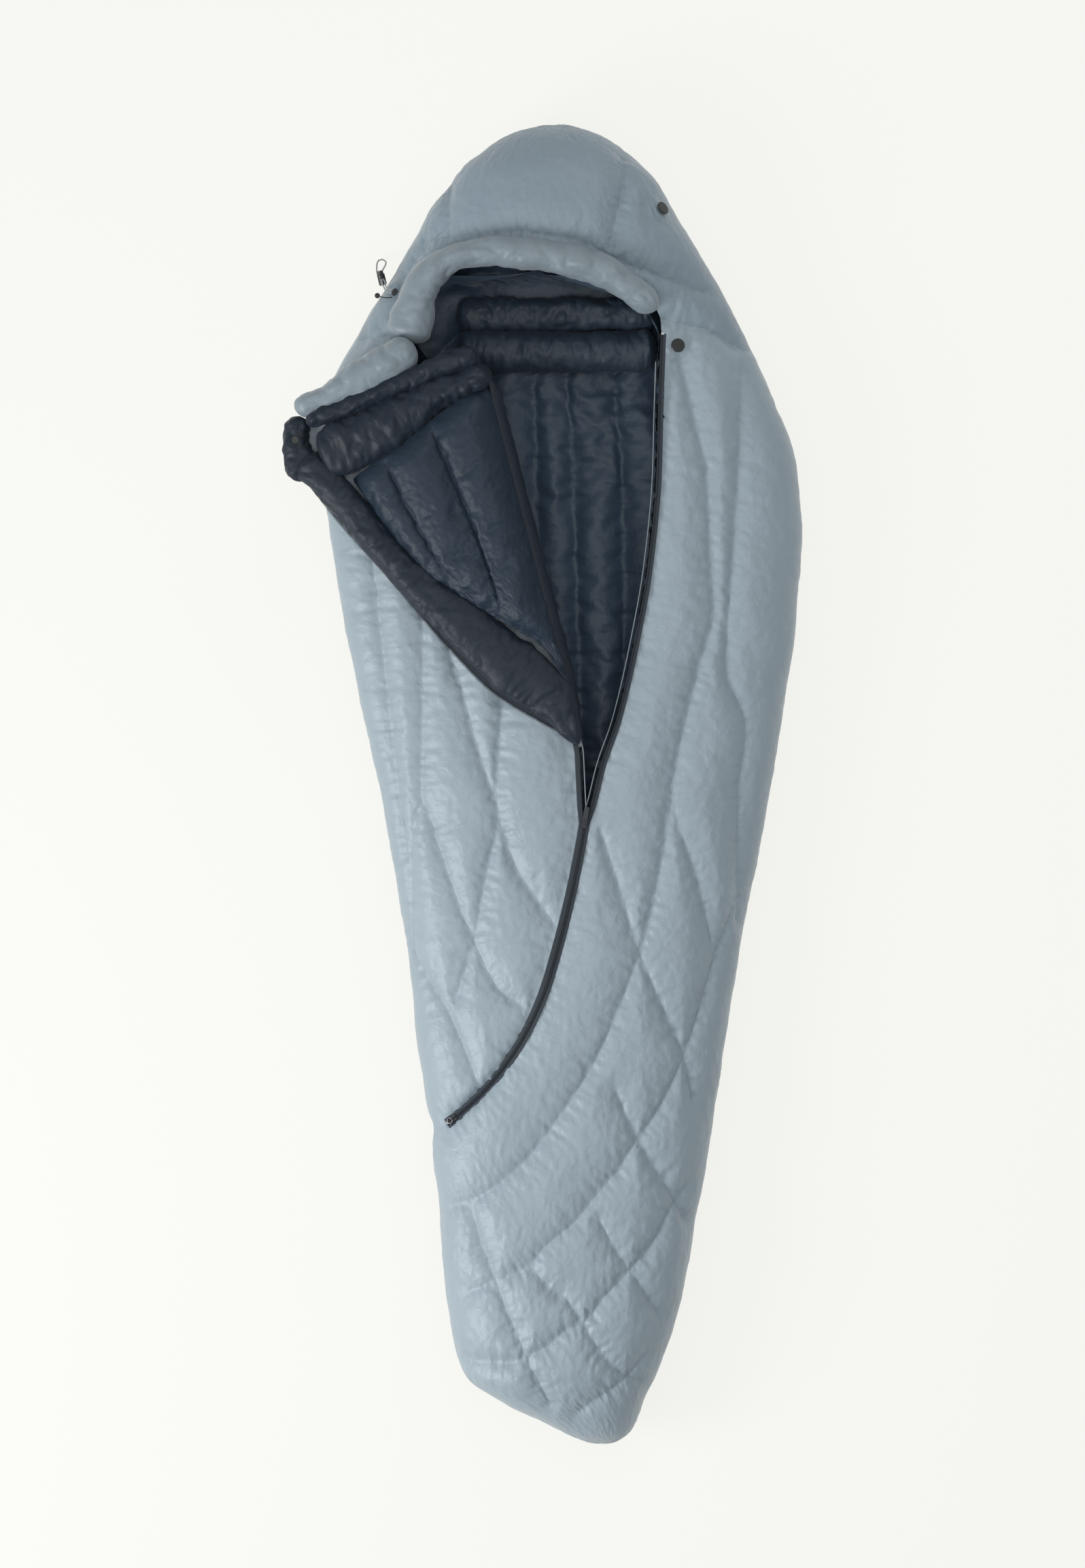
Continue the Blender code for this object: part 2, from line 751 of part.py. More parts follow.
rim_points = through([graded(*point) for point in RIM_LINE], 22)
tube("face_rim", rim_points, RIM_RADIUS, SHELL, 3, cushion_tapers(22))


def channel_points():
    """The drawcord's way along the outer side of the rim."""
    route = []
    for i in range(2, 20):
        ahead = rim_points[i + 1] - rim_points[i - 1]
        outward = ahead.cross(UP).normalized()
        route.append(rim_points[i] + outward * (RIM_RADIUS + CHANNEL_CORD / 2 + 0.0008))
    return route


tube("rim_drawcord", channel_points(), CHANNEL_CORD / 2, BLACK)

# ---- Draft collar: two tubes on the cavity floor


def collar(name, y, radius):
    """A padded tube across the neck, resting on the lining under the head."""
    y = graded(0, y).y
    left, right = (graded(x, 0).x for x in COLLAR_SPAN)
    z = section(y)[4] + WALL + radius + SOFT_GAP
    points = through([(left, y, z), (mix(left, right, 0.5), y, z), (right, y, z)], 12)
    return tube(name, points, radius, DARK, 3, cushion_tapers(12, 0.7))


collar("collar_upper", COLLAR_UPPER_Y, COLLAR_UPPER_RADIUS)
collar("collar_lower", COLLAR_LOWER_Y, COLLAR_LOWER_RADIUS)

# ---- The zip

right_frames = path_frames(RIGHT_PATH, RIGHT_UPS)
left_frames = path_frames(LEFT_PATH, LEFT_UPS)
zip_half("zip_right_", right_frames, 1)
zip_half("zip_left_", left_frames, -1)

draft_points = [point - UP * (WALL + DRAFT_RADIUS + SOFT_GAP) for point in CHAIN[4:]]
tube("zip_draft_tube", draft_points[::2] + [draft_points[-1]], DRAFT_RADIUS, DARK, 2)


def piping(name, frames, side):
    """A thin reflective cord on the inner side of an open zip half."""
    offset = side * (PIPING_RADIUS + 0.0006)
    points = [point + across * offset for point, across, _ in frames]
    return tube(name, points, PIPING_RADIUS, PALE, 2, roughness=0.3)


piping("piping_right", right_frames[-22:-2], -1)
piping("piping_left", left_frames[-4:], 1)


def stop_block(name, frame):
    """A small metal stop clamped over the end of a coil."""
    obj = box_mesh(name, (-0.0025, -0.002, COIL_HEIGHT / 2 + 0.0003),
                   (0.0025, 0.002, COIL_HEIGHT / 2 + 0.0018), frame, 0.0004)
    return finished(obj, STEEL, 0.35, 1.0)


end_point, end_across, end_up = right_frames[-1]
stop_block("zip_top_stop", frame_at(end_point + end_across * 0.003, UP.cross(end_across), end_up))
foot_point, foot_across, foot_up = right_frames[0]
foot_along = foot_up.cross(foot_across).normalized()
stop_block("zip_bottom_stop", frame_at(foot_point + foot_along * 0.003, foot_along, foot_up))


def slider(prefix, frame):
    """A slider: two plates joined by a web between the coils, with a crown for its pull."""
    half = SLIDER_LENGTH / 2
    wide = SLIDER_WIDTH / 2
    top = COIL_HEIGHT / 2 + 0.0007
    bottom = -COIL_HEIGHT / 2 - COIL_TO_TAPE - TAPE_THICKNESS - 0.0006
    crown_top = top + PLATE + 0.0044
    body = box_mesh(prefix + "body", (-wide, -half, top), (wide, half, top + PLATE), frame, 0.0005)
    web = CHAIN_GAP / 2 - 0.0003
    helpers = [
        box_mesh(prefix + "base", (-wide, -half, bottom - PLATE), (wide, half, bottom), frame),
        box_mesh(prefix + "web", (-web, 0.002, bottom - PLATE / 2), (web, 0.006, top + PLATE / 2), frame),
        box_mesh(prefix + "crown_front", (-0.0007, 0.0038, top + PLATE / 2),
                 (0.0007, 0.0052, crown_top), frame),
        box_mesh(prefix + "crown_rear", (-0.0007, -0.0052, top + PLATE / 2),
                 (0.0007, -0.0038, crown_top), frame),
        box_mesh(prefix + "crown_bar", (-0.0007, -0.0052, crown_top - 0.0012),
                 (0.0007, 0.0052, crown_top), frame),
    ]
    combine(finished(body, BLACK, 0.35, 1.0), helpers, "UNION")
    pivot = frame @ Vector((0, 0, top + PLATE + 0.0016))
    return body, pivot


def chain_frame(arc, along_sign):
    """The frame of a slider at the start of an arc."""
    radial = arc["from"] - arc["centre"] if along_sign > 0 else arc["to"] - arc["centre"]
    along = arc["axis"].cross(radial).normalized()
    place = arc["from"] if along_sign > 0 else arc["to"]
    if along.y * along_sign < 0:
        along.negate()
    return frame_at(place, along, arc["axis"])


main_frame = chain_frame(ARCS["leg"], 1)
main_body, main_pivot = slider("zip_slider_", main_frame)
pull_frame = main_frame.copy()
pull_frame.translation = main_pivot
pull = finished(box_mesh("zip_slider_pull", (-PULL_WIDTH / 2, -0.0007, -0.0007),
                         (PULL_WIDTH / 2, PULL_LENGTH, 0.0007), pull_frame, 0.0003), BLACK, 0.5)
combine(pull, [box_mesh("pull_window", (-0.0018, 0.0007, -0.002), (0.0018, 0.0067, 0.002),
                        pull_frame)], "DIFFERENCE")

foot_frame = chain_frame(ARCS["bend"], -1)
foot_shift = foot_frame.to_3x3() @ Vector((0, -SLIDER_LENGTH / 2 - 0.006, 0))
foot_turn = -foot_shift.length / (ARCS["bend"]["to"] - ARCS["bend"]["centre"]).length
bend_centre = ARCS["bend"]["centre"]
spin = Matrix.Translation(bend_centre) @ Matrix.Rotation(
    foot_turn, 4, ARCS["bend"]["axis"]) @ Matrix.Translation(-bend_centre)
turned = spin @ foot_frame
if (turned.translation - ARCS["bend"]["from"]).length > (
        foot_frame.translation - ARCS["bend"]["from"]).length:
    spin = Matrix.Translation(bend_centre) @ Matrix.Rotation(
        -foot_turn, 4, ARCS["bend"]["axis"]) @ Matrix.Translation(-bend_centre)
    turned = spin @ foot_frame
foot_body, foot_pivot = slider("foot_slider_", turned)


def ring_mesh(name, frame):
    """A round ring that hangs under a slider's crown."""
    bm = bmesh.new()
    section_points = [
        bm.verts.new((0, 0.0009 * math.cos(turn), 0.0009 * math.sin(turn)))
        for turn in [math.pi / 4 * i for i in range(8)]
    ]
    edges = [bm.edges.new((a, b)) for a, b in zip(section_points, section_points[1:] + section_points[:1])]
    bmesh.ops.spin(bm, geom=section_points + edges, cent=(0, RING_RADIUS, 0), axis=(0, 0, 1),
                   angle=2 * math.pi, steps=20, use_merge=True)
    bmesh.ops.remove_doubles(bm, verts=bm.verts, dist=0.00001)
    bmesh.ops.transform(bm, matrix=frame, verts=bm.verts)
    return from_bmesh(name, bm)


ring_frame = turned.copy()
ring_frame.translation = foot_pivot
ring = finished(ring_mesh("foot_slider_ring", ring_frame), BLACK, 0.35, 1.0)

# ---- The flap, folded back on the left shoulder


def flap_base(point):
    """The underside of the flap over a point of the pattern."""
    away = max((Vector((point.x, point.y, 0)) - Vector((FOLD_FOOT.x, FOLD_FOOT.y, 0))).dot(
        Vector((-FOLD_SIDE.x, -FOLD_SIDE.y, 0)) * (1 if FOLD_SIDE.x > 0 else -1)), 0.0)
    return FOLD_FOOT.z + FLAP_LIFT / 2 - FLAP_DROOP * (away / 0.3) ** 2


FLAP_LINE = through([FOLD_FOOT.xy.to_3d()] + flat(FLAP_EDGE), 30)
FLAP_LAYERS = {
    "shell": (0.0, FABRIC),
    "fill": (FABRIC + LAYER_GAP, FLAP_THICKNESS - FABRIC - LAYER_GAP),
    "lining": (FLAP_THICKNESS - FABRIC, FLAP_THICKNESS),
}
FLAP_START = 5
FLAP_END = 25


def flap_quilt(name, levels, colour):
    """One layer of the flap between the fold and its draft tube."""
    parts = 5
    rings = []
    top_outer = graded(*FLAP_TOP_OUTER)
    top_inner_share = 0.85
    for k in range(9):
        share = k / 8
        i = round(mix(FLAP_START, FLAP_END, share))
        edge = FLAP_LINE[i]
        near = FOLD_FOOT.lerp(FOLD_NECK, mix(0.13, top_inner_share, share)).xy.to_3d()
        near = near - Vector((FOLD_BACK, 0, 0))
        inward = (near - edge).normalized()
        edge = edge + inward * FLAP_STRIP
        ring = []
        for level, order in ((levels[0], range(parts + 1)), (levels[1], reversed(range(parts + 1)))):
            for j in order:
                point = near.lerp(edge, j / parts)
                point.z = flap_base(point) + level
                ring.append(point)
        rings.append(ring)
    return finished(loft(name, rings, strip=True), colour)


flap_nodes = [flap_quilt("flap_" + layer, levels, LAYER_COLOURS[layer])
              for layer, levels in FLAP_LAYERS.items()]


def flap_row(points, lift):
    """Points that lie on the flap's underside surface, raised by lift."""
    return [Vector((p.x, p.y, flap_base(p) + lift)) for p in points]


def beside_edge(i, offset):
    """A point of the flap's zip edge moved into the flap."""
    ahead = FLAP_LINE[min(i + 1, 29)] - FLAP_LINE[i - 1]
    inward = ahead.cross(UP).normalized()
    return FLAP_LINE[i] + inward * offset


def flap_draft():
    """The flat padded tube along the flap's zip edge."""
    rings = []
    for i in range(FLAP_START - 2, FLAP_END + 1, 2):
        wide = min((i - 1) / 6, 1.0)
        middle = beside_edge(i, 0.005 + (FLAP_STRIP - 0.010) / 2 * wide)
        half = (FLAP_STRIP - 0.012) / 2 * wide
        across = (FLAP_LINE[i + 1] - FLAP_LINE[i - 1]).cross(UP).normalized()
        high = FLAP_THICKNESS * mix(0.35, 0.5, wide)
        centre = flap_row([middle], high)[0]
        rings.append([
            centre + across * half * math.cos(turn) + UP * high * 0.96 * math.sin(turn)
            for turn in [math.pi / 6 * k for k in range(12)]
        ])
    return finished(loft("flap_draft_tube", rings), DARK)


flap_nodes.append(flap_draft())

flap_zip = []
for i in range(2, 28):
    place = beside_edge(i, 0.001)
    ahead = FLAP_LINE[i + 1] - FLAP_LINE[i - 1]
    flap_zip.append((flap_row([place], 0.0045)[0], ahead.cross(UP).normalized(), UP))
flap_nodes.append(swept("flap_zip_tape", flap_zip,
                        rectangle(0.0, 0.0040, -0.0022, -0.0012), ZIP, 0.8))
flap_nodes.append(swept("flap_zip_coil", flap_zip,
                        rectangle(-0.0004, 0.0024, -0.0008, 0.0018), ZIP, 0.4))


def flap_tube(name, offset, span, radius, colour):
    """A padded tube beside the flap's upper edge, parallel to it."""
    inner = FOLD_FOOT.lerp(FOLD_NECK, 0.85).xy.to_3d()
    outer = graded(*FLAP_TOP_OUTER)
    along = (outer - inner).normalized()
    upward = along.cross(UP).normalized()
    length = (outer - inner).length
    points = [inner + along * length * share + upward * offset for share in np.linspace(*span, 11)]
    points = flap_row(points, radius + 0.0005)
    return tube(name, points, radius, colour, 3, cushion_tapers(11, 0.7))


lower_offset = SOFT_GAP + FLAP_COLLAR_LOWER_RADIUS
upper_offset = lower_offset + FLAP_COLLAR_LOWER_RADIUS + SOFT_GAP + FLAP_COLLAR_UPPER_RADIUS
flap_nodes.append(flap_tube("flap_collar_lower", lower_offset, (0.10, 0.86),
                            FLAP_COLLAR_LOWER_RADIUS, DARK))
flap_nodes.append(flap_tube("flap_collar_upper", upper_offset, (0.12, 0.80),
                            FLAP_COLLAR_UPPER_RADIUS, DARK))
rim_tail = through(flat(FLAP_RIM_LINE), 12)
flap_nodes.append(tube("flap_rim", flap_row(rim_tail, FLAP_RIM_RADIUS + 0.0005),
                       FLAP_RIM_RADIUS, SHELL, 3, cushion_tapers(12)))


def pad(name, centre, half, colour):
    """A small stuffed pad."""
    bm = bmesh.new()
    bmesh.ops.create_uvsphere(bm, u_segments=14, v_segments=8, radius=1.0)
    bmesh.ops.scale(bm, vec=half, verts=bm.verts)
    bmesh.ops.translate(bm, vec=centre, verts=bm.verts)
    return finished(from_bmesh(name, bm), colour)


TIP_HALF = Vector((0.020, 0.034, 0.018))
tip = graded(-0.3895, 0.542)
tip.z = flap_base(tip) + TIP_HALF.z
flap_nodes.append(pad("flap_tip_pad", tip, TIP_HALF, DARK))
socket_at = frame_at(tip + UP * (TIP_HALF.z + 0.0004), Vector((0, 1, 0)), UP)
flap_nodes.append(finished(disc_mesh("flap_snap_socket", SOCKET_RADIUS, 0, 0.0022, socket_at, 0.0004),
                           BLACK, 0.35))

# ---- Snap caps


def snap(prefix, frame):
    """A domed cap outside the cloth."""
    return finished(disc_mesh(prefix, SNAP_RADIUS, 0.0004, SNAP_HEIGHT, frame, 0.0008), BLACK, 0.3)


snap_place = graded(*SNAP_AT)
snap("snap_cap", surface_frame(snap_place.x, snap_place.y, 0.0010))
finished(disc_mesh("snap_post", SOCKET_RADIUS, -0.0022, 0.0,
                   surface_frame(snap_place.x, snap_place.y, -WALL - 0.0030), 0.0004), BLACK, 0.35)
side_y = graded(0, SIDE_CAP_Y).y
side_x = section(side_y)[0] + section(side_y)[1] * power(math.cos(math.radians(28)), SQUARENESS)
snap("side_cap", surface_frame(side_x, side_y, 0.0012))

# ---- Drawcord loop, cord lock and tail

lock_at = graded(*LOCK_CENTRE)
drop = Vector(LOCK_DROP).normalized()
barrel_way = Vector(LOCK_ALONG)
barrel_way = (barrel_way - drop * barrel_way.dot(drop)).normalized()
strand_way = drop.cross(barrel_way).normalized()
lock_frame = Matrix((strand_way, drop, barrel_way)).transposed().to_4x4()
lock_frame.translation = lock_at
eyelet = surface_frame(*graded(*EYELET_AT).xy, 0.0024).translation
if strand_way.x > 0:
    strand_way.negate()
outer_strand = lock_at + strand_way * STRAND_SPACING / 2
inner_strand = lock_at - strand_way * STRAND_SPACING / 2


def hang(start, offsets):
    return [start + Vector(offset) for offset in offsets]


STRAIGHT = [0.010, 0.026, 0.042, 0.058]
loop_route = (
    [eyelet + Vector((-0.004, -0.002, 0.0020)), eyelet + Vector((-0.014, 0.003, -0.0005))]
    + [outer_strand - drop * 0.022 + Vector((-0.001, 0, 0)), outer_strand - drop * 0.011, outer_strand]
    + [outer_strand + drop * reach for reach in STRAIGHT]
    + hang(outer_strand, [(-0.0095, 0.0230, -0.0820), (-0.0100, 0.0340, -0.1010),
                          (-0.0075, 0.0420, -0.1085), (-0.0010, 0.0440, -0.1090)])
    + hang(inner_strand, [(0.0020, 0.0380, -0.1055), (-0.0010, 0.0270, -0.0870)])
    + [inner_strand + drop * reach for reach in reversed(STRAIGHT)]
    + [inner_strand, inner_strand - drop * 0.011,
       inner_strand - drop * 0.022 + Vector((0.001, 0, 0)), eyelet + Vector((-0.0125, 0.0055, 0.0022)),
       eyelet + Vector((-0.0040, 0.0030, 0.0030))]
)
tube("drawcord_loop", through(loop_route, 52), LOOP_CORD / 2, (150, 152, 152), 2)

eyelet_frame = surface_frame(*graded(*EYELET_AT).xy, 0.0010)
finished(disc_mesh("cord_eyelet", 0.0062, 0, 0.0012, eyelet_frame), BLACK, 0.4)

barrel = finished(disc_mesh("cord_lock_barrel", LOCK_RADIUS, -LOCK_LENGTH / 2, LOCK_LENGTH / 2,
                            lock_frame, 0.0008), BLACK, 0.45)
bore_floor = -LOCK_LENGTH / 2 + 0.0015
slot_half = STRAND_SPACING / 2 + LOOP_CORD / 2 + 0.0005
cord_slot = LOOP_CORD / 2 + 0.0005
combine(barrel, [
    disc_mesh("lock_bore", LOCK_BORE, bore_floor, LOCK_LENGTH, lock_frame),
    box_mesh("lock_slot", (-slot_half, -0.02, -cord_slot), (slot_half, 0.02, cord_slot), lock_frame),
], "DIFFERENCE")
plunger_end = LOCK_LENGTH / 2 + PLUNGER_TRAVEL + 0.0020
plunger_foot = -cord_slot - 0.0016
plunger = finished(disc_mesh("cord_lock_plunger", LOCK_BORE - PLUNGER_CLEARANCE, plunger_foot,
                             plunger_end, lock_frame, 0.0), BLACK, 0.45)
combine(plunger, [box_mesh("plunger_slot", (-slot_half, -0.02, -cord_slot),
                           (slot_half, 0.02, cord_slot + PLUNGER_TRAVEL), lock_frame)],
        "DIFFERENCE")

spring = [
    lock_frame @ Vector((
        SPRING_RADIUS * math.cos(turn),
        SPRING_RADIUS * math.sin(turn),
        bore_floor + SPRING_WIRE * (0.75 + 1.25 * turn / (2 * math.pi)),
    ))
    for turn in [math.pi / 8 * i for i in range(17)]
]
tube("cord_lock_spring", spring, SPRING_WIRE / 2, STEEL, 1)

tail_route = hang(eyelet, [(-0.0030, -0.0085, 0.0010), (-0.0090, -0.0095, 0.0010),
                           (-0.0170, -0.0080, -0.0075), (-0.0240, -0.0055, -0.0180),
                           (-0.0275, -0.0030, -0.0290)])
tube("tail_cord", through(tail_route, 16), TAIL_CORD / 2, BLACK, 2)
bead_half = Vector((0.0045, 0.0045, 0.0080))
pad("tail_bead", tail_route[-1] + Vector((-0.0006, 0.0008, -0.0003 - bead_half.z - TAIL_CORD / 2)),
    bead_half, BLACK)

# ---- Small pale tab inside, beside the right zip half

tab_y = graded(0, 0.644).y
tab_x = float(np.interp(tab_y, *RIGHT_EDGE)) - QUILT_TO_ZIP - 0.006
tab_frame = frame_at(Vector((tab_x, tab_y, ZIP_TOP - 0.014)), Vector((0, 1, 0)), UP)
finished(box_mesh("inner_tab", (-0.0010, -0.007, -0.010), (0.0010, 0.007, 0.010), tab_frame, 0.0003),
         PALE)

# ---- What moves with what

on_axis("flap_fold_axis", FOLD_FOOT, flap_nodes)
leg_axis = on_axis("zip_slider_axis", ARCS["leg"]["centre"], [main_body])
on_axis("zip_pull_axis", main_pivot, [pull], leg_axis)
bend_axis = on_axis("foot_slider_axis", ARCS["bend"]["centre"], [foot_body])
on_axis("foot_ring_axis", foot_pivot, [ring], bend_axis)
lock_axis = on_axis("cord_lock_axis", lock_at, [barrel])
on_axis("plunger_axis", lock_at + barrel_way * LOCK_LENGTH / 2, [plunger], lock_axis)
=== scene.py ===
# %% [markdown]
# A hooded mummy sleeping bag lies on its back with its left front folded open. It is soft
# almost all over, so the solid model gives only the places and sizes. Each quilted cloth is
# made here as a fine grid, stitched down along its seams and puffed up by cloth simulation,
# which is what gives real down baffles their folds.

# %% The frame
import math

import bmesh
import bpy
import numpy as np
from mathutils import Matrix, Vector, kdtree, noise


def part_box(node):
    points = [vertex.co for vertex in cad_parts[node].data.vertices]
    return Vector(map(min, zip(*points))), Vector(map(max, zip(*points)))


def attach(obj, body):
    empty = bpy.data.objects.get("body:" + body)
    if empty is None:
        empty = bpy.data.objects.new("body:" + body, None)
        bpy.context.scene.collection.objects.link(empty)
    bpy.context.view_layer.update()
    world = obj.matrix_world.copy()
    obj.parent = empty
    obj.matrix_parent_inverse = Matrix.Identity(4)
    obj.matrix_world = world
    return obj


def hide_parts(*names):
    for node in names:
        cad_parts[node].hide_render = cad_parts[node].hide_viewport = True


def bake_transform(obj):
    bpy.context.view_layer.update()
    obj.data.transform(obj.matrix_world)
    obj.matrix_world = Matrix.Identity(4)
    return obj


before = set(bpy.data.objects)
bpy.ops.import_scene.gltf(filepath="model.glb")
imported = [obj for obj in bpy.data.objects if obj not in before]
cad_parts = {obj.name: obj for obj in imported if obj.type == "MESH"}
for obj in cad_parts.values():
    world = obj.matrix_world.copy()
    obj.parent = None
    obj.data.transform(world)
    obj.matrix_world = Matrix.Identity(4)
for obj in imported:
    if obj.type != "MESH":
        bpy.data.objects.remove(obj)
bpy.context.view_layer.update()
scene = bpy.context.scene

# %% [markdown]
# The bag is seen from straight above. The camera stands eight metres up with a long lens,
# so that the hood and the foot are seen almost without perspective. A wide soft light hangs
# overhead, and a smaller one leans in low from the foot's left side to shape the folds. The
# floor is a plain pale sheet.

# %% Camera, lights and floor
def add_area(name, place, aim, size, power):
    """A square soft light that faces a point."""
    lamp = bpy.data.lights.new(name, "AREA")
    lamp.shape = "SQUARE"
    lamp.size = size
    lamp.energy = power
    holder = bpy.data.objects.new(name, lamp)
    holder.location = place
    holder.rotation_euler = (Vector(aim) - Vector(place)).to_track_quat("-Z", "Y").to_euler()
    scene.collection.objects.link(holder)
    return holder


CAMERA_HEIGHT = 8.0
SENSOR = 36
SEEN_LEVEL, SEEN_LENGTH = 0.12, 2.496
camera = bpy.data.cameras.new("overhead")
camera.sensor_width = SENSOR
camera.lens = SENSOR * (CAMERA_HEIGHT - SEEN_LEVEL) / SEEN_LENGTH
camera_holder = bpy.data.objects.new("overhead", camera)
camera_holder.location = (0, 0, CAMERA_HEIGHT)
scene.collection.objects.link(camera_holder)
scene.camera = camera_holder

add_area("overhead_soft", (0.0, 0.2, 4.2), (0, 0, 0), 3.0, 46)
add_area("key_soft", (-2.6, -1.2, 1.9), (0, 0.0, 0.1), 1.4, 88)
add_area("rear_soft", (1.0, 2.8, 1.8), (0, 0.2, 0.1), 1.6, 16)
world = bpy.data.worlds.new("studio")
world.use_nodes = True
world.node_tree.nodes["Background"].inputs["Color"].default_value = (0.97, 0.985, 1.0, 1)
world.node_tree.nodes["Background"].inputs["Strength"].default_value = 0.40
scene.world = world
scene.view_settings.view_transform = "Standard"
scene.view_settings.look = "None"
print("camera", tuple(camera_holder.location), "lens", round(camera.lens, 1))

# %% [markdown]
# The outline gives the bag's left and right edges, its underside and its top at stations
# along its length. A curve that never overshoots joins them, so the cloth follows the same
# body as the solid model. Each section is a squared oval that lies flat on the floor.

# %% The bag's outline and sections
WALL = 0.045
SQUARENESS = 0.8
FLATTENED = 0.012
NECK, FOOT = 0.72, -0.80
TOE, CROWN = -1.05, 1.05
OUTLINE = np.array([
    (-1.050, 0.085, 0.110, 0.085, 0.105), (-1.035, 0.045, 0.132, 0.045, 0.140),
    (-1.010, -0.005, 0.147, 0.018, 0.165), (-0.983, -0.058, 0.158, 0.006, 0.178),
    (-0.940, -0.127, 0.180, 0.002, 0.186), (-0.850, -0.145, 0.210, 0.002, 0.188),
    (-0.640, -0.167, 0.253, 0.000, 0.182), (-0.350, -0.204, 0.298, 0.000, 0.178),
    (-0.050, -0.250, 0.354, 0.000, 0.178), (0.200, -0.302, 0.394, 0.000, 0.178),
    (0.380, -0.333, 0.411, 0.000, 0.178), (0.500, -0.345, 0.402, 0.000, 0.178),
    (0.600, -0.343, 0.371, 0.000, 0.178), (0.720, -0.292, 0.318, 0.000, 0.178),
    (0.790, -0.246, 0.280, 0.001, 0.188), (0.880, -0.194, 0.225, 0.002, 0.200),
    (0.966, -0.143, 0.175, 0.008, 0.186), (1.010, -0.097, 0.131, 0.025, 0.158),
    (1.035, -0.050, 0.090, 0.045, 0.130), (1.050, 0.005, 0.035, 0.075, 0.098),
])


def smooth_table(knots, values, places):
    """Values of a smooth curve without overshoot through the knots."""
    step = np.diff(knots)
    rise = np.diff(values) / step
    slopes = np.concatenate([rise[:1], np.zeros(len(values) - 2), rise[-1:]])
    for i in range(1, len(values) - 1):
        if rise[i - 1] * rise[i] > 0:
            before, after = 2 * step[i] + step[i - 1], step[i] + 2 * step[i - 1]
            slopes[i] = (before + after) / (before / rise[i - 1] + after / rise[i])
    i = np.clip(np.searchsorted(knots, places) - 1, 0, len(knots) - 2)
    t = (places - knots[i]) / step[i]
    return (
        values[i] * (2 * t**3 - 3 * t**2 + 1) + slopes[i] * step[i] * (t**3 - 2 * t**2 + t)
        + values[i + 1] * (3 * t**2 - 2 * t**3) + slopes[i + 1] * step[i] * (t**3 - t**2)
    )


STATIONS = np.linspace(TOE, CROWN, 1401)
LEFT, RIGHT, LOW, TOP = (
    smooth_table(OUTLINE[:, 0], OUTLINE[:, k], STATIONS) for k in (1, 2, 3, 4))
HALF = (TOP - LOW + np.minimum(FLATTENED, 0.1 * (TOP - LOW))) / 2


def section(y):
    """Centre x, half width, centre z, half height and underside at y, which may be an array."""
    left, right, low, top, half = (np.interp(y, STATIONS, v) for v in (LEFT, RIGHT, LOW, TOP, HALF))
    return (left + right) / 2, (right - left) / 2, top - half, half, low


def power(value, exponent):
    return np.sign(value) * np.abs(value) ** exponent


def wall_points(angle, y, depth):
    """Points of the bag's wall, at a depth below its outer surface. All three may be arrays."""
    angle, y, depth = np.broadcast_arrays(*(np.asarray(v, float) for v in (angle, y, depth)))
    cx, width, cz, height, low = section(y)
    x = cx + width * power(np.cos(angle), SQUARENESS)
    z = np.maximum(cz + height * power(np.sin(angle), SQUARENESS), low)
    root = np.clip(y, FOOT, NECK)
    ends = y != root
    rx, r_width, rz, r_height, r_low = section(root)
    reach = np.where(y > NECK, CROWN - NECK, FOOT - TOE)
    straight_x = cx + (width - depth) * power(np.cos(angle), SQUARENESS)
    straight_z = np.maximum(cz + (height - depth) * power(np.sin(angle), SQUARENESS), low + depth)
    drop = np.where(z > rz, r_height, rz - r_low)
    return np.stack([
        np.where(ends, rx + (x - rx) * (1 - depth / r_width), straight_x),
        np.where(ends, root + (y - root) * (1 - depth / reach), y),
        np.where(ends, rz + (z - rz) * (1 - depth / drop), straight_z),
    ], axis=-1)


def angle_over(x, y):
    """The angle, on the top half, at which the outer surface has this x."""
    cx, width = section(y)[:2]
    return np.arccos(power(np.clip((x - cx) / width, -1, 1), 1 / SQUARENESS))


def on_top(points, depth):
    """Points given as x and y, laid on the top of the bag at a depth."""
    points = np.asarray(points, float)
    return wall_points(angle_over(points[:, 0], points[:, 1]), points[:, 1], depth)


print("outline length", round(CROWN - TOE, 3), "widest", round(float((RIGHT - LEFT).max()), 3))


# %% [markdown]
# Every line on the bag, such as a seam, the zip or the fold, is drawn as a few points and
# then made dense and even. The zip runs in two arcs and opens into two halves at the main
# slider.

# %% Lines on the bag
def travelled(points):
    """The distance gone along a line at each of its points."""
    return np.concatenate([[0], np.cumsum(np.linalg.norm(np.diff(points, axis=0), axis=1))])


def dense(points, step=0.002):
    """Even points along straight runs between the given ones."""
    points = np.asarray(points, float)
    lengths = travelled(points)
    count = max(int(lengths[-1] / step) + 1, 2)
    places = np.linspace(0, lengths[-1], count)
    return np.stack([np.interp(places, lengths, column) for column in points.T], axis=1)


def curved(points, step=0.002):
    """Even points along a smooth curve through the given ones."""
    points = np.asarray(points, float)
    lengths = travelled(points)
    places = np.linspace(0, lengths[-1], max(int(lengths[-1] / step) + 1, 3))
    columns = [smooth_table(lengths, column, places) for column in points.T]
    return dense(np.stack(columns, axis=1), step)


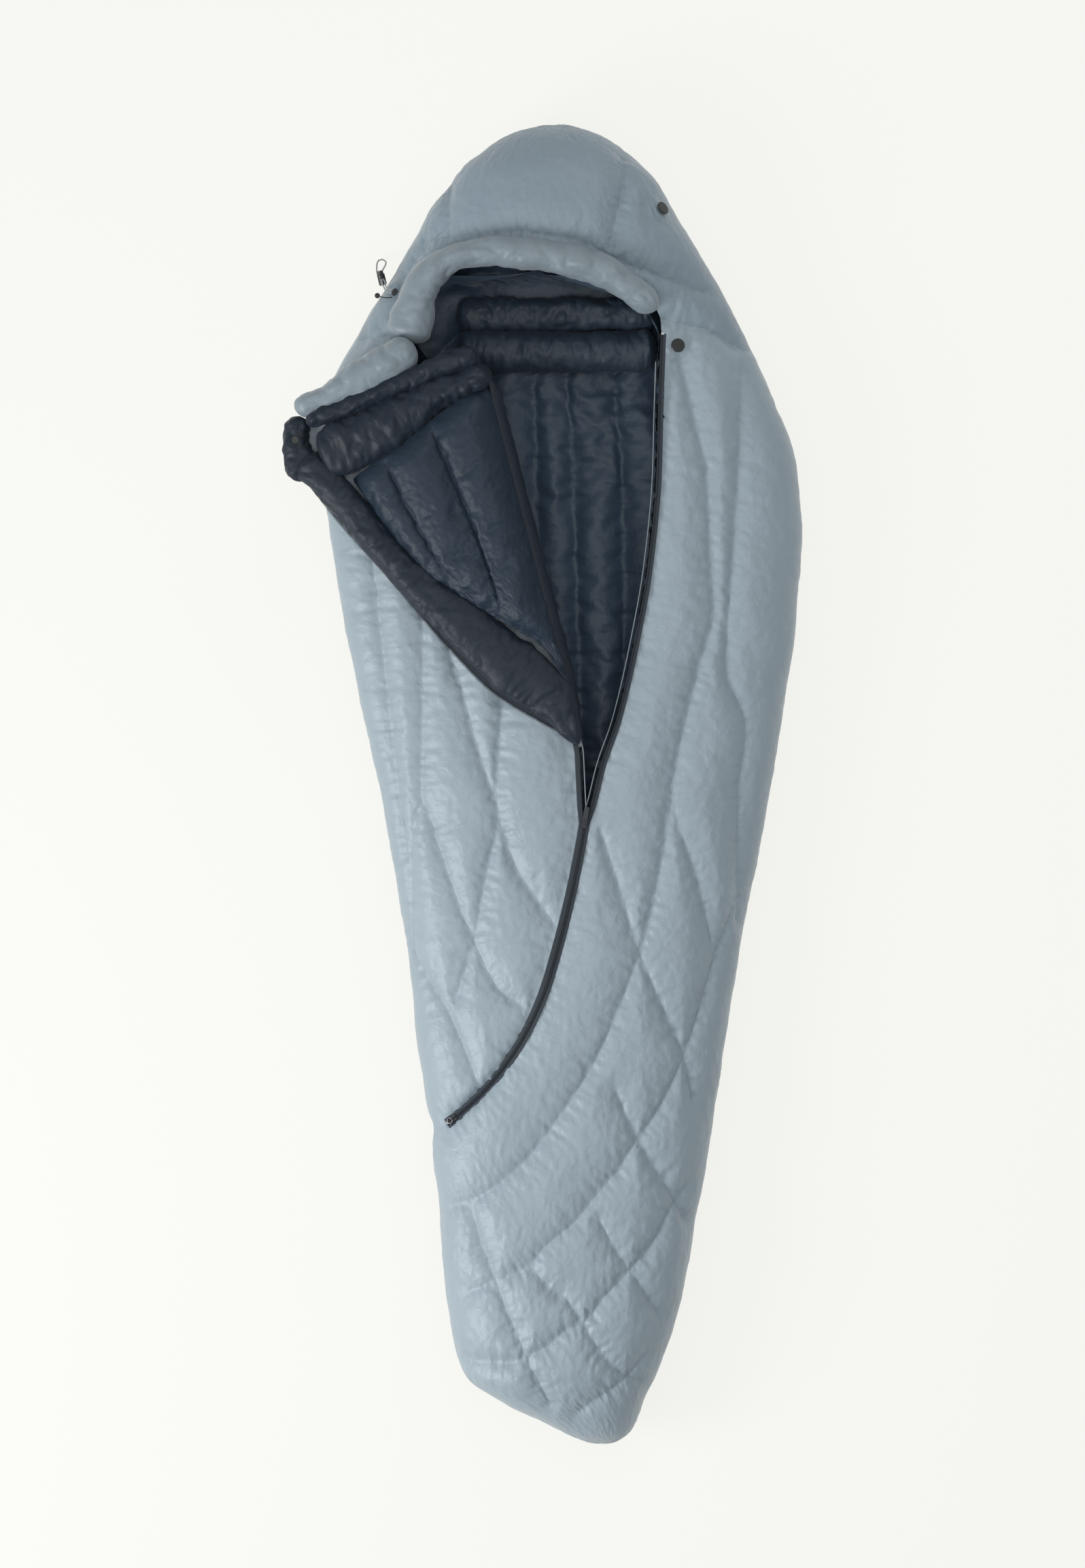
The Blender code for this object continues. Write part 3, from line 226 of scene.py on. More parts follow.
ZIP_TOP = 0.174
LEG_CENTRE, LEG_AXIS = Vector((-1.8096, 0.240523, 0.174)), Vector((0, 0, 1))
BEND_CENTRE = Vector((-0.368434, -0.189724, -0.005195))
BEND_AXIS = Vector((-0.395055, 0.11794, 0.911055))
ZIP_START = Vector((0.066, -0.063, ZIP_TOP))
ZIP_TURN = Vector((0.011, -0.303, ZIP_TOP))
ZIP_FOOT = Vector((-0.152, -0.540, 0.134))
RIGHT_HALF = [(0.066, -0.063), (0.077, -0.030), (0.092, 0.030), (0.116, 0.100), (0.144, 0.219),
              (0.167, 0.350), (0.180, 0.489), (0.183, 0.600), (0.187, 0.712)]
LEFT_HALF = [(0.066, -0.063), (0.063, -0.030), (0.061, 0.010), (0.059, 0.050), (0.0555, 0.068)]


def arc(start, end, centre, count):
    """Points along a circle's arc from start to end."""
    a, b = start - centre, end - centre
    turn, axis = a.angle(b), a.cross(b).normalized()
    return np.array([centre + Matrix.Rotation(turn * i / count, 3, axis) @ a for i in range(count + 1)])


chain = np.concatenate([
    arc(ZIP_FOOT, ZIP_TURN, BEND_CENTRE, 150), arc(ZIP_TURN, ZIP_START, LEG_CENTRE, 120)[1:]])
chain_ups = np.array([BEND_AXIS.lerp(LEG_AXIS, min(max((i - 118) / 32, 0), 1)).normalized()
                      for i in range(len(chain))])
right_half = curved(RIGHT_HALF)[1:]
left_half = curved(LEFT_HALF)[1:]


def raised(points, z):
    return np.column_stack([points, np.full(len(points), z)])


right_path = np.concatenate([chain, raised(right_half, ZIP_TOP)])
left_path = np.concatenate([chain, raised(left_half, ZIP_TOP)])
UP = np.array([0.0, 0.0, 1.0])
right_ups = np.concatenate([chain_ups, np.tile(UP, (len(right_half), 1))])
left_ups = np.concatenate([chain_ups, np.tile(UP, (len(left_half), 1))])


def across(path, ups):
    """The direction across a path, to its right as one looks up the bag."""
    ahead = np.gradient(path, axis=0)
    side = np.cross(ahead, ups)
    return side / np.linalg.norm(side, axis=1, keepdims=True)


FOLD_FOOT = np.array([0.063, 0.062, 0.1795])
FOLD_NECK = np.array([-0.105, 0.706, 0.1795])
RIM_LINE = np.array([
    (0.180, 0.748, 0.184), (0.1626, 0.763, 0.188), (0.123, 0.793, 0.191), (0.082, 0.815, 0.193),
    (0.020, 0.831, 0.195), (-0.035, 0.837, 0.195), (-0.085, 0.839, 0.195), (-0.120, 0.836, 0.194),
    (-0.158, 0.821, 0.191), (-0.186, 0.795, 0.186), (-0.200, 0.765, 0.181),
    (-0.206, 0.735, 0.178), (-0.216, 0.698, 0.176)])
rim = curved(RIM_LINE)
rim_outer = rim + across(rim, np.tile(UP, (len(rim), 1))) * 0.014
EDGE = 0.0060
right_edge = (right_path + across(right_path, right_ups) * EDGE)[::3]
left_edge = (left_path - across(left_path, left_ups) * EDGE)[::3]
left_edge = left_edge[left_edge[:, 1] < 0.056]
FOLD_SHARE = 0.90
fold = dense([FOLD_FOOT, FOLD_FOOT + (FOLD_NECK - FOLD_FOOT) * FOLD_SHARE])
neck_edge = dense([(-0.228, 0.700, 0.15), (-0.200, 0.662, 0.15), (-0.130, 0.640, 0.17), fold[-1]])
hood_edge = np.concatenate([[(0.1915, 0.716, 0.17), (0.190, 0.738, 0.17)], rim_outer[10:]])
opening = np.concatenate([right_edge, hood_edge, neck_edge, fold[::-1], left_edge[::-1]])[:, :2]
print("zip chain", round(float(np.linalg.norm(np.diff(chain, axis=0), axis=1).sum()), 3),
      "m closed, opening outline of", len(opening), "points")

# %% [markdown]
# The quilting is stitched right through the bag, so each seam holds the cloth down in a
# valley. The lines start as long baffles at the shoulders and cross into diamonds toward
# the foot. They are drawn here as seen from above.

# %% Quilting lines
LEFT_SEAMS = [
    [(-0.213, 0.700), (-0.206, 0.520), (-0.200, 0.424), (-0.196, 0.261), (-0.198, 0.077),
     (-0.200, -0.022), (-0.216, -0.095), (-0.214, -0.190), (-0.213, -0.267)],
    [(-0.161, 0.700), (-0.163, 0.446), (-0.156, 0.227), (-0.136, 0.162), (-0.114, 0.077),
     (-0.086, -0.008), (-0.057, -0.095), (-0.048, -0.128)],
    [(-0.066, 0.134), (-0.071, 0.077), (-0.076, -0.016), (-0.078, -0.095)],
    [(-0.195, -0.025), (-0.155, -0.146), (-0.115, -0.249), (-0.069, -0.33), (-0.034, -0.352)],
    [(-0.079, 0.002), (-0.077, -0.052), (-0.096, -0.155), (-0.115, -0.249), (-0.146, -0.347)],
    [(-0.075, -0.056), (-0.048, -0.128), (-0.011, -0.182), (0.019, -0.226)],
    [(-0.213, -0.267), (-0.155, -0.366), (-0.119, -0.447), (-0.106, -0.483)],
    [(-0.268, 0.690), (-0.282, 0.560), (-0.280, 0.400), (-0.262, 0.220), (-0.240, 0.020),
     (-0.222, -0.120)],
]
MAIN_SEAMS = [
    [(0.218, 0.690), (0.237, 0.621), (0.252, 0.553), (0.266, 0.498), (0.271, 0.373),
     (0.277, 0.273), (0.254, 0.186), (0.223, 0.062), (0.185, -0.163), (0.158, -0.276)],
    [(0.322, 0.660), (0.320, 0.548), (0.311, 0.398), (0.298, 0.186), (0.330, 0.087),
     (0.318, -0.013), (0.316, -0.218)],
    [(0.204, 0.002), (0.218, -0.056), (0.253, -0.159), (0.278, -0.263)],
    [(0.092, -0.074), (0.128, -0.178), (0.155, -0.263), (0.199, -0.362), (0.231, -0.437),
     (0.246, -0.504)],
    [(0.159, -0.263), (0.128, -0.343), (0.096, -0.416), (0.056, -0.483), (0.011, -0.546),
     (-0.048, -0.613), (-0.123, -0.662), (-0.150, -0.671)],
    [(0.310, -0.195), (0.280, -0.276), (0.231, -0.429), (0.195, -0.504), (0.155, -0.563),
     (0.092, -0.644), (0.052, -0.691), (0.002, -0.733), (-0.027, -0.762), (-0.077, -0.787),
     (-0.123, -0.805)],
    [(0.119, -0.487), (0.155, -0.563), (0.178, -0.601), (0.214, -0.658), (0.232, -0.691)],
    [(-0.123, -0.665), (-0.102, -0.730), (-0.080, -0.787), (-0.048, -0.866)],
    [(0.092, -0.691), (0.124, -0.744), (0.146, -0.773), (0.188, -0.841)],
    [(0.070, -0.665), (0.135, -0.601)],
    [(-0.027, -0.762), (0.010, -0.795), (0.038, -0.816), (0.067, -0.858)],
    [(0.067, -0.858), (0.092, -0.898), (0.135, -0.942), (0.160, -0.950)],
    [(0.170, -0.905), (0.135, -0.945), (0.056, -1.000)],
    [(-0.048, -0.866), (-0.020, -0.930), (0.010, -0.985)],
]
FOOT_SEAM = [(0.232, -0.640), (0.214, -0.665), (0.178, -0.730), (0.142, -0.769), (0.100, -0.812),
             (0.067, -0.852), (0.038, -0.866), (-0.005, -0.898), (-0.069, -0.920),
             (-0.130, -0.918)]
HOOD_SEAM_LEFT = [(-0.156, 0.850), (-0.154, 0.879), (-0.143, 0.987), (-0.110, 1.000)]
HOOD_SEAM_RIGHT = [(0.108, 0.830), (0.117, 0.890), (0.128, 0.944), (0.130, 1.000)]
HOOD_SEAMS = [
    [(-0.192, 0.868), (-0.083, 0.874), (0.000, 0.870), (0.080, 0.852), (0.133, 0.826),
     (0.200, 0.802), (0.263, 0.782)],
    [(-0.215, 0.740), (-0.225, 0.790), (-0.196, 0.850), (-0.154, 0.890)],
]
NECK_SEAM_RIGHT = [(0.200, 0.734), (0.263, 0.722), (0.316, 0.690)]
NECK_SEAM_LEFT = [(-0.226, 0.716), (-0.288, 0.706)]
print(len(LEFT_SEAMS) + len(MAIN_SEAMS) + len(HOOD_SEAMS), "quilting lines on the upper side")

# %% [markdown]
# A sheet starts as a flat grid, and each point is then placed on the bag. The points nearest
# to a seam move onto it, which gives clean stitched lines without cutting the mesh. Faces
# inside an opening are taken away.

# %% Making and stitching a sheet
def grid(columns, rows, place):
    """A grid whose point at u and v, each from 0 to 1, goes where place says."""
    bm = bmesh.new()
    bmesh.ops.create_grid(bm, x_segments=columns, y_segments=rows, size=0.5)
    flat = np.array([vert.co[:] for vert in bm.verts])
    places = place(flat[:, 0] + 0.5, flat[:, 1] + 0.5)
    for vert, point in zip(bm.verts, places):
        vert.co = point
    return bm


def stitch(bm, lines, reach=0.009):
    """Moves the points nearest to each line onto it, and gives their numbers."""
    tree = kdtree.KDTree(len(bm.verts))
    for vert in bm.verts:
        tree.insert(vert.co, vert.index)
    tree.balance()
    found = {}
    for line in lines:
        for point in line:
            _, index, gap = tree.find(point)
            if gap < reach:
                found.setdefault(index, []).append(Vector(point))
    bm.verts.ensure_lookup_table()
    for index, points in found.items():
        bm.verts[index].co = sum(points, Vector()) / len(points)
    return set(found)


def tree_of(points):
    """A search tree that finds the nearest of the points."""
    tree = kdtree.KDTree(len(points))
    for i, point in enumerate(points):
        tree.insert(point, i)
    tree.balance()
    return tree


def open_edge(bm):
    """The numbers of the points along a sheet's open edges."""
    return {vert.index for edge in bm.edges if edge.is_boundary for vert in edge.verts}


def face_toward(bm, way):
    """Makes an open sheet's faces look a given way."""
    bmesh.ops.recalc_face_normals(bm, faces=bm.faces[:])
    if sum(face.normal.dot(Vector(way)) for face in bm.faces) < 0:
        bmesh.ops.reverse_faces(bm, faces=bm.faces[:])


def settle_edge(bm, lines, reach=0.012):
    """Moves the points of an open edge onto the nearest of the lines, which makes it smooth."""
    tree = tree_of(np.concatenate(lines))
    for vert in bm.verts:
        if vert.is_boundary:
            point, _, gap = tree.find(vert.co)
            if gap < reach:
                vert.co = point


def inside(points, outline):
    """Which points, seen from above, lie inside a closed outline."""
    x, y = points[:, 0], points[:, 1]
    result = np.zeros(len(points), bool)
    ends = np.roll(outline, -1, axis=0)
    for (ax, ay), (bx, by) in zip(outline, ends):
        crosses = (ay > y) != (by > y)
        with np.errstate(divide="ignore", invalid="ignore"):
            result ^= crosses & (x < (bx - ax) * (y - ay) / (by - ay) + ax)
    return result


# %% [markdown]
# Down pushes each baffle outward while the stitching holds it in. A sheet is first lifted
# into pillows between its seams. Blender's cloth then settles it with a little pressure,
# pinned seams and a cloth that wants to be a few percent larger than its place, because the
# extra cloth is what puckers along the thread.

# %% Puffing a sheet up
def points_of(mesh):
    points = np.empty(len(mesh.vertices) * 3)
    mesh.vertices.foreach_get("co", points)
    return points.reshape(-1, 3)


def set_points(mesh, points):
    mesh.vertices.foreach_set("co", np.asarray(points, float).ravel())
    mesh.update()


def as_object(name, bm_or_mesh):
    """A linked object from a bmesh or a mesh."""
    mesh = bm_or_mesh
    if isinstance(bm_or_mesh, bmesh.types.BMesh):
        mesh = bpy.data.meshes.new(name)
        bm_or_mesh.to_mesh(mesh)
        bm_or_mesh.free()
    mesh.name = name
    obj = bpy.data.objects.new(name, mesh)
    scene.collection.objects.link(obj)
    mesh.shade_smooth()
    return obj


def swell(obj, lines, height, spread, flat=0.25):
    """Lifts a sheet between its lines, into pillows with sharp valleys where the thread runs."""
    points = points_of(obj.data)
    tree = tree_of(np.concatenate(lines))
    gap = np.array([tree.find(point)[2] for point in points])
    uneven = np.array([1 + flat * noise.noise(point / 0.07) for point in points])
    normals = np.array([vert.normal[:] for vert in obj.data.vertices])
    set_points(obj.data, points + normals * (height * (1 - np.exp(-gap / spread)) * uneven)[:, None])


def puff(obj, pinned, push, growth, limit, frames=16, bend=0.15, floor=0.0009):
    """Runs the cloth and keeps its shape, with no point further than limit from its start."""
    mesh = obj.data
    start = points_of(mesh)
    rng = np.random.default_rng(7)
    free = np.ones(len(start), bool)
    free[list(pinned)] = False
    normals = np.array([vert.normal[:] for vert in mesh.vertices])
    nudge = rng.normal(0, 0.0006, len(start)) + 0.0015
    set_points(mesh, start + normals * (nudge * free)[:, None])
    group = obj.vertex_groups.new(name="stitched")
    group.add([int(i) for i in pinned], 1.0, "REPLACE")
    cloth = obj.modifiers.new("down", "CLOTH")
    rules = cloth.settings
    rules.quality = 4
    rules.mass = 0.12
    rules.tension_stiffness = 12
    rules.compression_stiffness = 12
    rules.shear_stiffness = 6
    rules.bending_stiffness = bend
    rules.tension_damping = rules.compression_damping = rules.shear_damping = 4
    rules.air_damping = 2
    rules.vertex_group_mass = "stitched"
    rules.shrink_min = -growth
    rules.use_pressure = True
    rules.uniform_pressure_force = push
    rules.effector_weights.gravity = 0
    cloth.collision_settings.use_collision = False
    cloth.point_cache.frame_start = 1
    cloth.point_cache.frame_end = frames
    for step in range(1, frames + 1):
        scene.frame_set(step)
    graph = bpy.context.evaluated_depsgraph_get()
    evaluated = obj.evaluated_get(graph).to_mesh()
    end = points_of(evaluated)
    obj.evaluated_get(graph).to_mesh_clear()
    obj.modifiers.clear()
    obj.vertex_groups.clear()
    scene.frame_set(1)
    move = end - start
    length = np.linalg.norm(move, axis=1, keepdims=True)
    soft = limit * np.tanh(length / limit)
    end = start + move * soft / np.maximum(length, 1e-9)
    end[:, 2] = np.maximum(end[:, 2], floor)
    set_points(mesh, end)
    print(f"{obj.name}: {len(start)} points, rose {np.median(length[free]) * 1000:.1f} mm,"
          f" most {length.max() * 1000:.1f} mm")
    return obj


def refine(obj, levels=1):
    """Divides a sheet smoothly and keeps the result."""
    smooth = obj.modifiers.new("finer", "SUBSURF")
    smooth.levels = smooth.render_levels = levels
    graph = bpy.context.evaluated_depsgraph_get()
    mesh = bpy.data.meshes.new_from_object(obj.evaluated_get(graph))
    obj.modifiers.clear()
    old, obj.data = obj.data, mesh
    bpy.data.meshes.remove(old)
    mesh.name = obj.name
    mesh.shade_smooth()
    return obj


# %% [markdown]
# Close to the thread the cloth gathers into small pleats that run away from the seam and
# fade out. They are too fine for the simulation, so each point near a seam is moved by a
# wave that follows the seam's length, and each point remembers how near the thread is, which
# the cloth's material uses later to paint shade along the seams.

# %% Pleats along the seams
def pleat(obj, lines, height=0.0036, fade=0.028, wave=0.013):
    """Adds small pleats across each line and stores the distance to the nearest one."""
    samples, travel, keys = [], [], []
    for key, line in enumerate(lines):
        steps = travelled(line)
        samples.append(line)
        travel.append(steps)
        keys.append(np.full(len(line), key))
    travel, keys = np.concatenate(travel), np.concatenate(keys)
    tree = tree_of(np.concatenate(samples))
    mesh = obj.data
    points = points_of(mesh)
    normals = np.empty(len(points) * 3)
    mesh.vertices.foreach_get("normal", normals)
    near = [tree.find(point)[1:] for point in points]
    index = np.array([item[0] for item in near])
    gap = np.array([item[1] for item in near])
    along = travel[index]
    seed = keys[index] * 7.31
    ripple = np.array([
        0.45 - 1.6 * abs(noise.noise((a / wave, g / 0.06, s)))
        - 0.8 * abs(noise.noise((1.9 * a / wave, g / 0.035, s + 3)))
        for a, g, s in zip(along, gap, seed)
    ])
    rise = height * ripple * np.exp(-gap / fade) * np.clip(gap / 0.004, 0, 1)
    points += normals.reshape(-1, 3) * rise[:, None]
    set_points(mesh, points)
    # The distance to the thread, which the cloth materials use to paint shade along the seams.
    thread = mesh.attributes.new("thread", "FLOAT", "POINT")
    thread.data.foreach_set("value", np.clip(gap / 0.02, 0, 1).astype(np.float32))
    return obj


# %% The upper cloth of the whole bag
def even_rows(count):
    """Values of y spaced evenly along the crest and the sides together."""
    crest = np.column_stack([STATIONS, TOP, (RIGHT - LEFT) / 2])
    lengths = travelled(crest)
    return np.interp(np.linspace(0, lengths[-1], count), lengths, STATIONS)


SIDE = math.radians(10)


def over_the_top(u, v, rows, start=-SIDE, end=math.pi + SIDE, depth=0.009, around=241):
    """Points spaced evenly from one side seam over the section to the other."""
    lines = {}
    result = np.empty((len(u), 3))
    row_index = np.rint(v * (len(rows) - 1)).astype(int)
    angles = np.linspace(start, end, around)
    for row in np.unique(row_index):
        line = wall_points(angles, rows[row], depth)
        if row in (0, len(rows) - 1):
            line[:] = wall_points(np.array([0, math.pi]), rows[row], depth).mean(axis=0)
            line[:, 1] += 0.001 if row else -0.001
        lengths = travelled(line)
        chosen = row_index == row
        places = u[chosen] * lengths[-1]
        result[chosen] = np.stack([np.interp(places, lengths, line[:, k]) for k in range(3)], axis=1)
    return result


VALLEY = 0.010
PILLOW, PILLOW_SPREAD = 0.0125, 0.024
CAPS = {"snap": (0.214, 0.694), "side": (0.1867, 0.912)}
rows = even_rows(301)
top_bm = grid(120, 300, lambda u, v: over_the_top(u, v, rows, depth=VALLEY))
foot_tuck = [(-0.152, -0.540), (-0.168, -0.545), (-0.180, -0.548)]
seam_lines = [on_top(curved(seam), VALLEY) for seam in
              LEFT_SEAMS + MAIN_SEAMS + HOOD_SEAMS + [FOOT_SEAM, HOOD_SEAM_LEFT, HOOD_SEAM_RIGHT,
                                                      NECK_SEAM_RIGHT, NECK_SEAM_LEFT, foot_tuck]]
edge_lines = [dense(line - UP * 0.0012) for line in (right_edge, left_edge)]
edge_lines += [on_top(dense(line[:, :2]), VALLEY * 0.55) for line in (fold, hood_edge, neck_edge)]
rings = [[(x + r * math.cos(t), y + r * math.sin(t)) for t in np.arange(0, 6.28, 0.5)]
         for x, y in CAPS.values() for r in (0.0, 0.007, 0.013)]
cap_lines = [on_top(ring, 0.0004) for ring in rings]
bmesh.ops.remove_doubles(top_bm, verts=top_bm.verts[:], dist=1e-6)
stitch(top_bm, edge_lines)
centres = np.array([face.calc_center_median()[:] for face in top_bm.faces])
gone = inside(centres, opening)
top_bm.faces.ensure_lookup_table()
bmesh.ops.delete(top_bm, geom=[top_bm.faces[i] for i in np.flatnonzero(gone)], context="FACES")
settle_edge(top_bm, edge_lines)
bmesh.ops.recalc_face_normals(top_bm, faces=top_bm.faces[:])
top_bm.verts.index_update()
seam_points = stitch(top_bm, seam_lines)
cap_points = stitch(top_bm, cap_lines, 0.014)
edges_now = open_edge(top_bm)
upper = as_object("upper_cloth", top_bm)
swell(upper, seam_lines + edge_lines + cap_lines, PILLOW, PILLOW_SPREAD)
puff(upper, seam_points | cap_points | edges_now, push=3.5, growth=0.05, limit=0.012, frames=24,
     bend=0.35)
refine(upper)
print("upper cloth", len(upper.data.polygons), "faces")
pleat(upper, seam_lines + edge_lines)


# %% [markdown]
# The sewn panels are cut out of this one cloth along their seams. Each keeps the shading it
# had as part of the whole, so that no false line shows where two panels meet.

# %% The shell's upper panels
def carve(source, name, keep):
    """A copy of the source with only the faces whose middles pass the test."""
    mesh = source.data
    normals = np.empty(len(mesh.vertices) * 3, np.float32)
    mesh.vertices.foreach_get("normal", normals)
    if "whole" not in mesh.attributes:
        mesh.attributes.new("whole", "FLOAT_VECTOR", "POINT").data.foreach_set("vector", normals)
    bm = bmesh.new()
    bm.from_mesh(mesh)
    centres = np.array([face.calc_center_median()[:] for face in bm.faces])
    kept = keep(centres)
    bmesh.ops.delete(bm, geom=[f for f, k in zip(bm.faces, kept) if not k], context="FACES")
    obj = as_object(name, bm)
    values = np.empty(len(obj.data.vertices) * 3, np.float32)
    obj.data.attributes["whole"].data.foreach_get("vector", values)
    obj.data.attributes.remove(obj.data.attributes["whole"])
    obj.data.normals_split_custom_set_from_vertices(values.reshape(-1, 3))
    print(name, len(obj.data.polygons), "faces")
    return obj


def beyond(line, points):
    """Which points lie above a line given by x and y."""
    ordered = np.array(sorted(line))
    return points[:, 1] > np.interp(points[:, 0], ordered[:, 0], ordered[:, 1])


def x_of(line, y):
    ordered = np.array(sorted((b, a) for a, b in line))
    return np.interp(y, ordered[:, 0], ordered[:, 1])


NECK_LINE = NECK_SEAM_LEFT + [(-0.15, 0.75), (0.15, 0.75)] + NECK_SEAM_RIGHT
zip_line = [tuple(p[:2]) for p in chain[::10]] + [(0.06, 0.05), (0.06, 0.72)]


def panel_of(c):
    """The panel's number for each face centre: 0 main, 1 left, 2 foot, 3 to 5 the hood."""
    result = np.zeros(len(c), int)
    left = (c[:, 0] < x_of(zip_line, c[:, 1])) & beyond(foot_tuck, c)
    result[left] = 1
    result[~beyond(FOOT_SEAM, c)] = 2
    hood = beyond(NECK_LINE, c)
    result[hood] = 4
    result[hood & (c[:, 0] < x_of(HOOD_SEAM_LEFT, c[:, 1]))] = 3
    result[hood & (c[:, 0] > x_of(HOOD_SEAM_RIGHT, c[:, 1]))] = 5
    return result


panels = {name: carve(upper, name, lambda c, k=k: panel_of(c) == k) for k, name in enumerate(
    ["front_main_cloth", "front_left_cloth", "foot_box_cloth", "hood_left_cloth",
     "hood_centre_cloth", "hood_right_cloth"])}
bpy.data.objects.remove(upper)

# %% [markdown]
# The underside lies on the floor. Only its outer strips show, so the grid is coarser and the
# same two side seams join it to the upper cloth.

# %% The underside
under_bm = grid(90, 200, lambda u, v: over_the_top(
    u, v, even_rows(201), start=math.pi + SIDE, end=2 * math.pi - SIDE, depth=VALLEY))
bmesh.ops.remove_doubles(under_bm, verts=under_bm.verts[:], dist=1e-6)
bmesh.ops.recalc_face_normals(under_bm, faces=under_bm.faces[:])
under_bm.verts.index_update()
under_seams = []
for share in (-0.62, -0.3, 0.0, 0.3, 0.62):
    line = []
    for y in np.arange(-0.98, 1.0, 0.02):
        cx, width, _, _, low = section(y)
        line.append((cx + share * width, y, 0.004))
    under_seams.append(dense(line))
for y in (FOOT, NECK):
    cx, width = section(y)[:2]
    under_seams.append(dense([(cx - width * 0.9, y, 0.004), (cx + width * 0.9, y, 0.004)]))
under_points = stitch(under_bm, under_seams)
under_edges = open_edge(under_bm)
under = as_object("under_cloth", under_bm)
puff(under, under_points | under_edges, push=1.6, growth=0.05, limit=0.012, frames=10)
refine(under)
pleat(under, under_seams)
panels.update({name: carve(under, name, keep) for name, keep in {
    "back_cloth": lambda c: (c[:, 1] < NECK) & (c[:, 1] > FOOT),
    "hood_back_cloth": lambda c: c[:, 1] >= NECK,
    "foot_back_cloth": lambda c: c[:, 1] <= FOOT}.items()})
bpy.data.objects.remove(under)

# %% [markdown]
# The lining is one dark cloth inside. It starts at the zip's right side, goes down the wall,
# across the back and up the other wall to the fold. Near its edges it rises to the zip, so
# that each padded wall ends in a round edge.

# %% The lining inside the bag
FOLD_RADIUS = 0.016
FOLD_AHEAD = (FOLD_NECK - FOLD_FOOT) / np.linalg.norm(FOLD_NECK - FOLD_FOOT)
FOLD_LEFT = np.array([-FOLD_AHEAD[1], FOLD_AHEAD[0], 0])


def roll_radius(share):
    """Radius of the rolled fold, which thins out toward both ends."""
    ends = np.minimum(np.asarray(share) / 0.2, (FOLD_SHARE + 0.02 - np.asarray(share)) / 0.08)
    return FOLD_RADIUS * (0.12 + 0.88 * np.sin(np.clip(ends, 0, 1) * math.pi / 2))


middle_line = [(0.085, -1.05), (0.0, -0.8), (-0.152, -0.54)]
right_side = middle_line + [tuple(p[:2]) for p in chain[::10]] + RIGHT_HALF[1:] + [
    (0.180, 0.730), (0.166, 0.752), (0.1115, 0.787), (0.057, 0.809), (-0.008, 0.823), (-0.01, 1.05)]
left_side = middle_line + [tuple(p[:2]) for p in chain[::10]] + LEFT_HALF[1:-1] + [
    (0.063, 0.070), (-0.0882, 0.6416), (-0.130, 0.650), (-0.185, 0.672), (-0.205, 0.700),
    (-0.198, 0.735), (-0.190, 0.771),
    (-0.159, 0.805), (-0.116, 0.822), (-0.01, 0.826), (-0.01, 1.05)]
inner_rows = np.linspace(-1.045, 1.045, 231)
INNER_COLUMNS = 110


def inside_wall(u, v):
    """Points of the lining: u runs from the right edge down and round to the left edge."""
    result = np.empty((len(u), 3))
    row_index = np.rint(v * (len(inner_rows) - 1)).astype(int)
    for row in np.unique(row_index):
        y = inner_rows[row]
        start = float(angle_over(x_of(right_side, y), y))
        end = float(angle_over(x_of(left_side, y), y)) - 2 * math.pi
        angles = np.linspace(start, end, 261)
        outer = wall_points(angles, y, 0.0)
        lengths = travelled(outer)
        share = (y - FOLD_FOOT[1]) / (FOLD_NECK[1] - FOLD_FOOT[1])
        first = 0.006 if ZIP_FOOT.y < y < 0.815 else WALL
        last = float(roll_radius(share)) if 0 <= share <= FOLD_SHARE else first
        depth = WALL - (WALL - first) * np.exp(-(lengths / 0.020) ** 2)
        depth -= (WALL - last) * np.exp(-((lengths[-1] - lengths) / 0.020) ** 2)
        line = wall_points(angles, y, depth)
        if row in (0, len(inner_rows) - 1):
            line[:] = line.mean(axis=0)
        lengths = travelled(line)
        chosen = row_index == row
        places = u[chosen] * lengths[-1]
        result[chosen] = np.stack([np.interp(places, lengths, line[:, k]) for k in range(3)], axis=1)
    return result


inner_bm = grid(INNER_COLUMNS, 230, inside_wall)
bmesh.ops.remove_doubles(inner_bm, verts=inner_bm.verts[:], dist=1e-6)
bmesh.ops.recalc_face_normals(inner_bm, faces=inner_bm.faces[:])
bmesh.ops.reverse_faces(inner_bm, faces=inner_bm.faces[:])
inner_bm.verts.index_update()
inner_seams = []
for points in ([(-0.010, -0.7), (-0.004, 0.0), (-0.008, 0.35), (-0.012, 0.66)],
               [(0.058, -0.7), (0.062, 0.0), (0.054, 0.35), (0.041, 0.66)],
               [(0.120, -0.6), (0.128, 0.0), (0.130, 0.35), (0.118, 0.66)],
               [(-0.080, -0.6), (-0.078, 0.0), (-0.086, 0.35), (-0.094, 0.66)],
               [(0.150, -0.3), (0.215, 0.1), (0.225, 0.4), (0.200, 0.66)],
               [(-0.090, -0.3), (-0.150, 0.1), (-0.165, 0.4), (-0.160, 0.66)],
               [(-0.13, 0.728), (0.02, 0.732), (0.16, 0.728)],
               [(-0.10, 0.862), (0.02, 0.868), (0.12, 0.862)]):
    inner_seams.append(np.column_stack([curved(points), np.full(len(curved(points)), WALL - 0.004)]))
inner_points = stitch(inner_bm, inner_seams, 0.012)
inner_edges = open_edge(inner_bm)
inner = as_object("inner_cloth", inner_bm)
still = points_of(inner.data)[sorted(inner_edges)]
swell(inner, inner_seams + [still], 0.011, 0.024)
puff(inner, inner_points | inner_edges, push=2.4, growth=0.08, limit=0.013, frames=16, floor=0.02)
refine(inner)
pleat(inner, inner_seams + [right_path[::4], fold], height=0.0050, fade=0.040, wave=0.015)


def lining_of(c):
    """The lining's number: 0 back, 1 left front, 2 main front, 3 foot, 4 neck, 5 hood."""
    result = np.where(c[:, 2] < 0.09, 0, np.where(c[:, 0] < x_of(zip_line, c[:, 1]), 1, 2))
    result[c[:, 1] < FOOT] = 3
    result[c[:, 1] > NECK] = 4
    result[c[:, 1] > 0.868] = 5
    return result


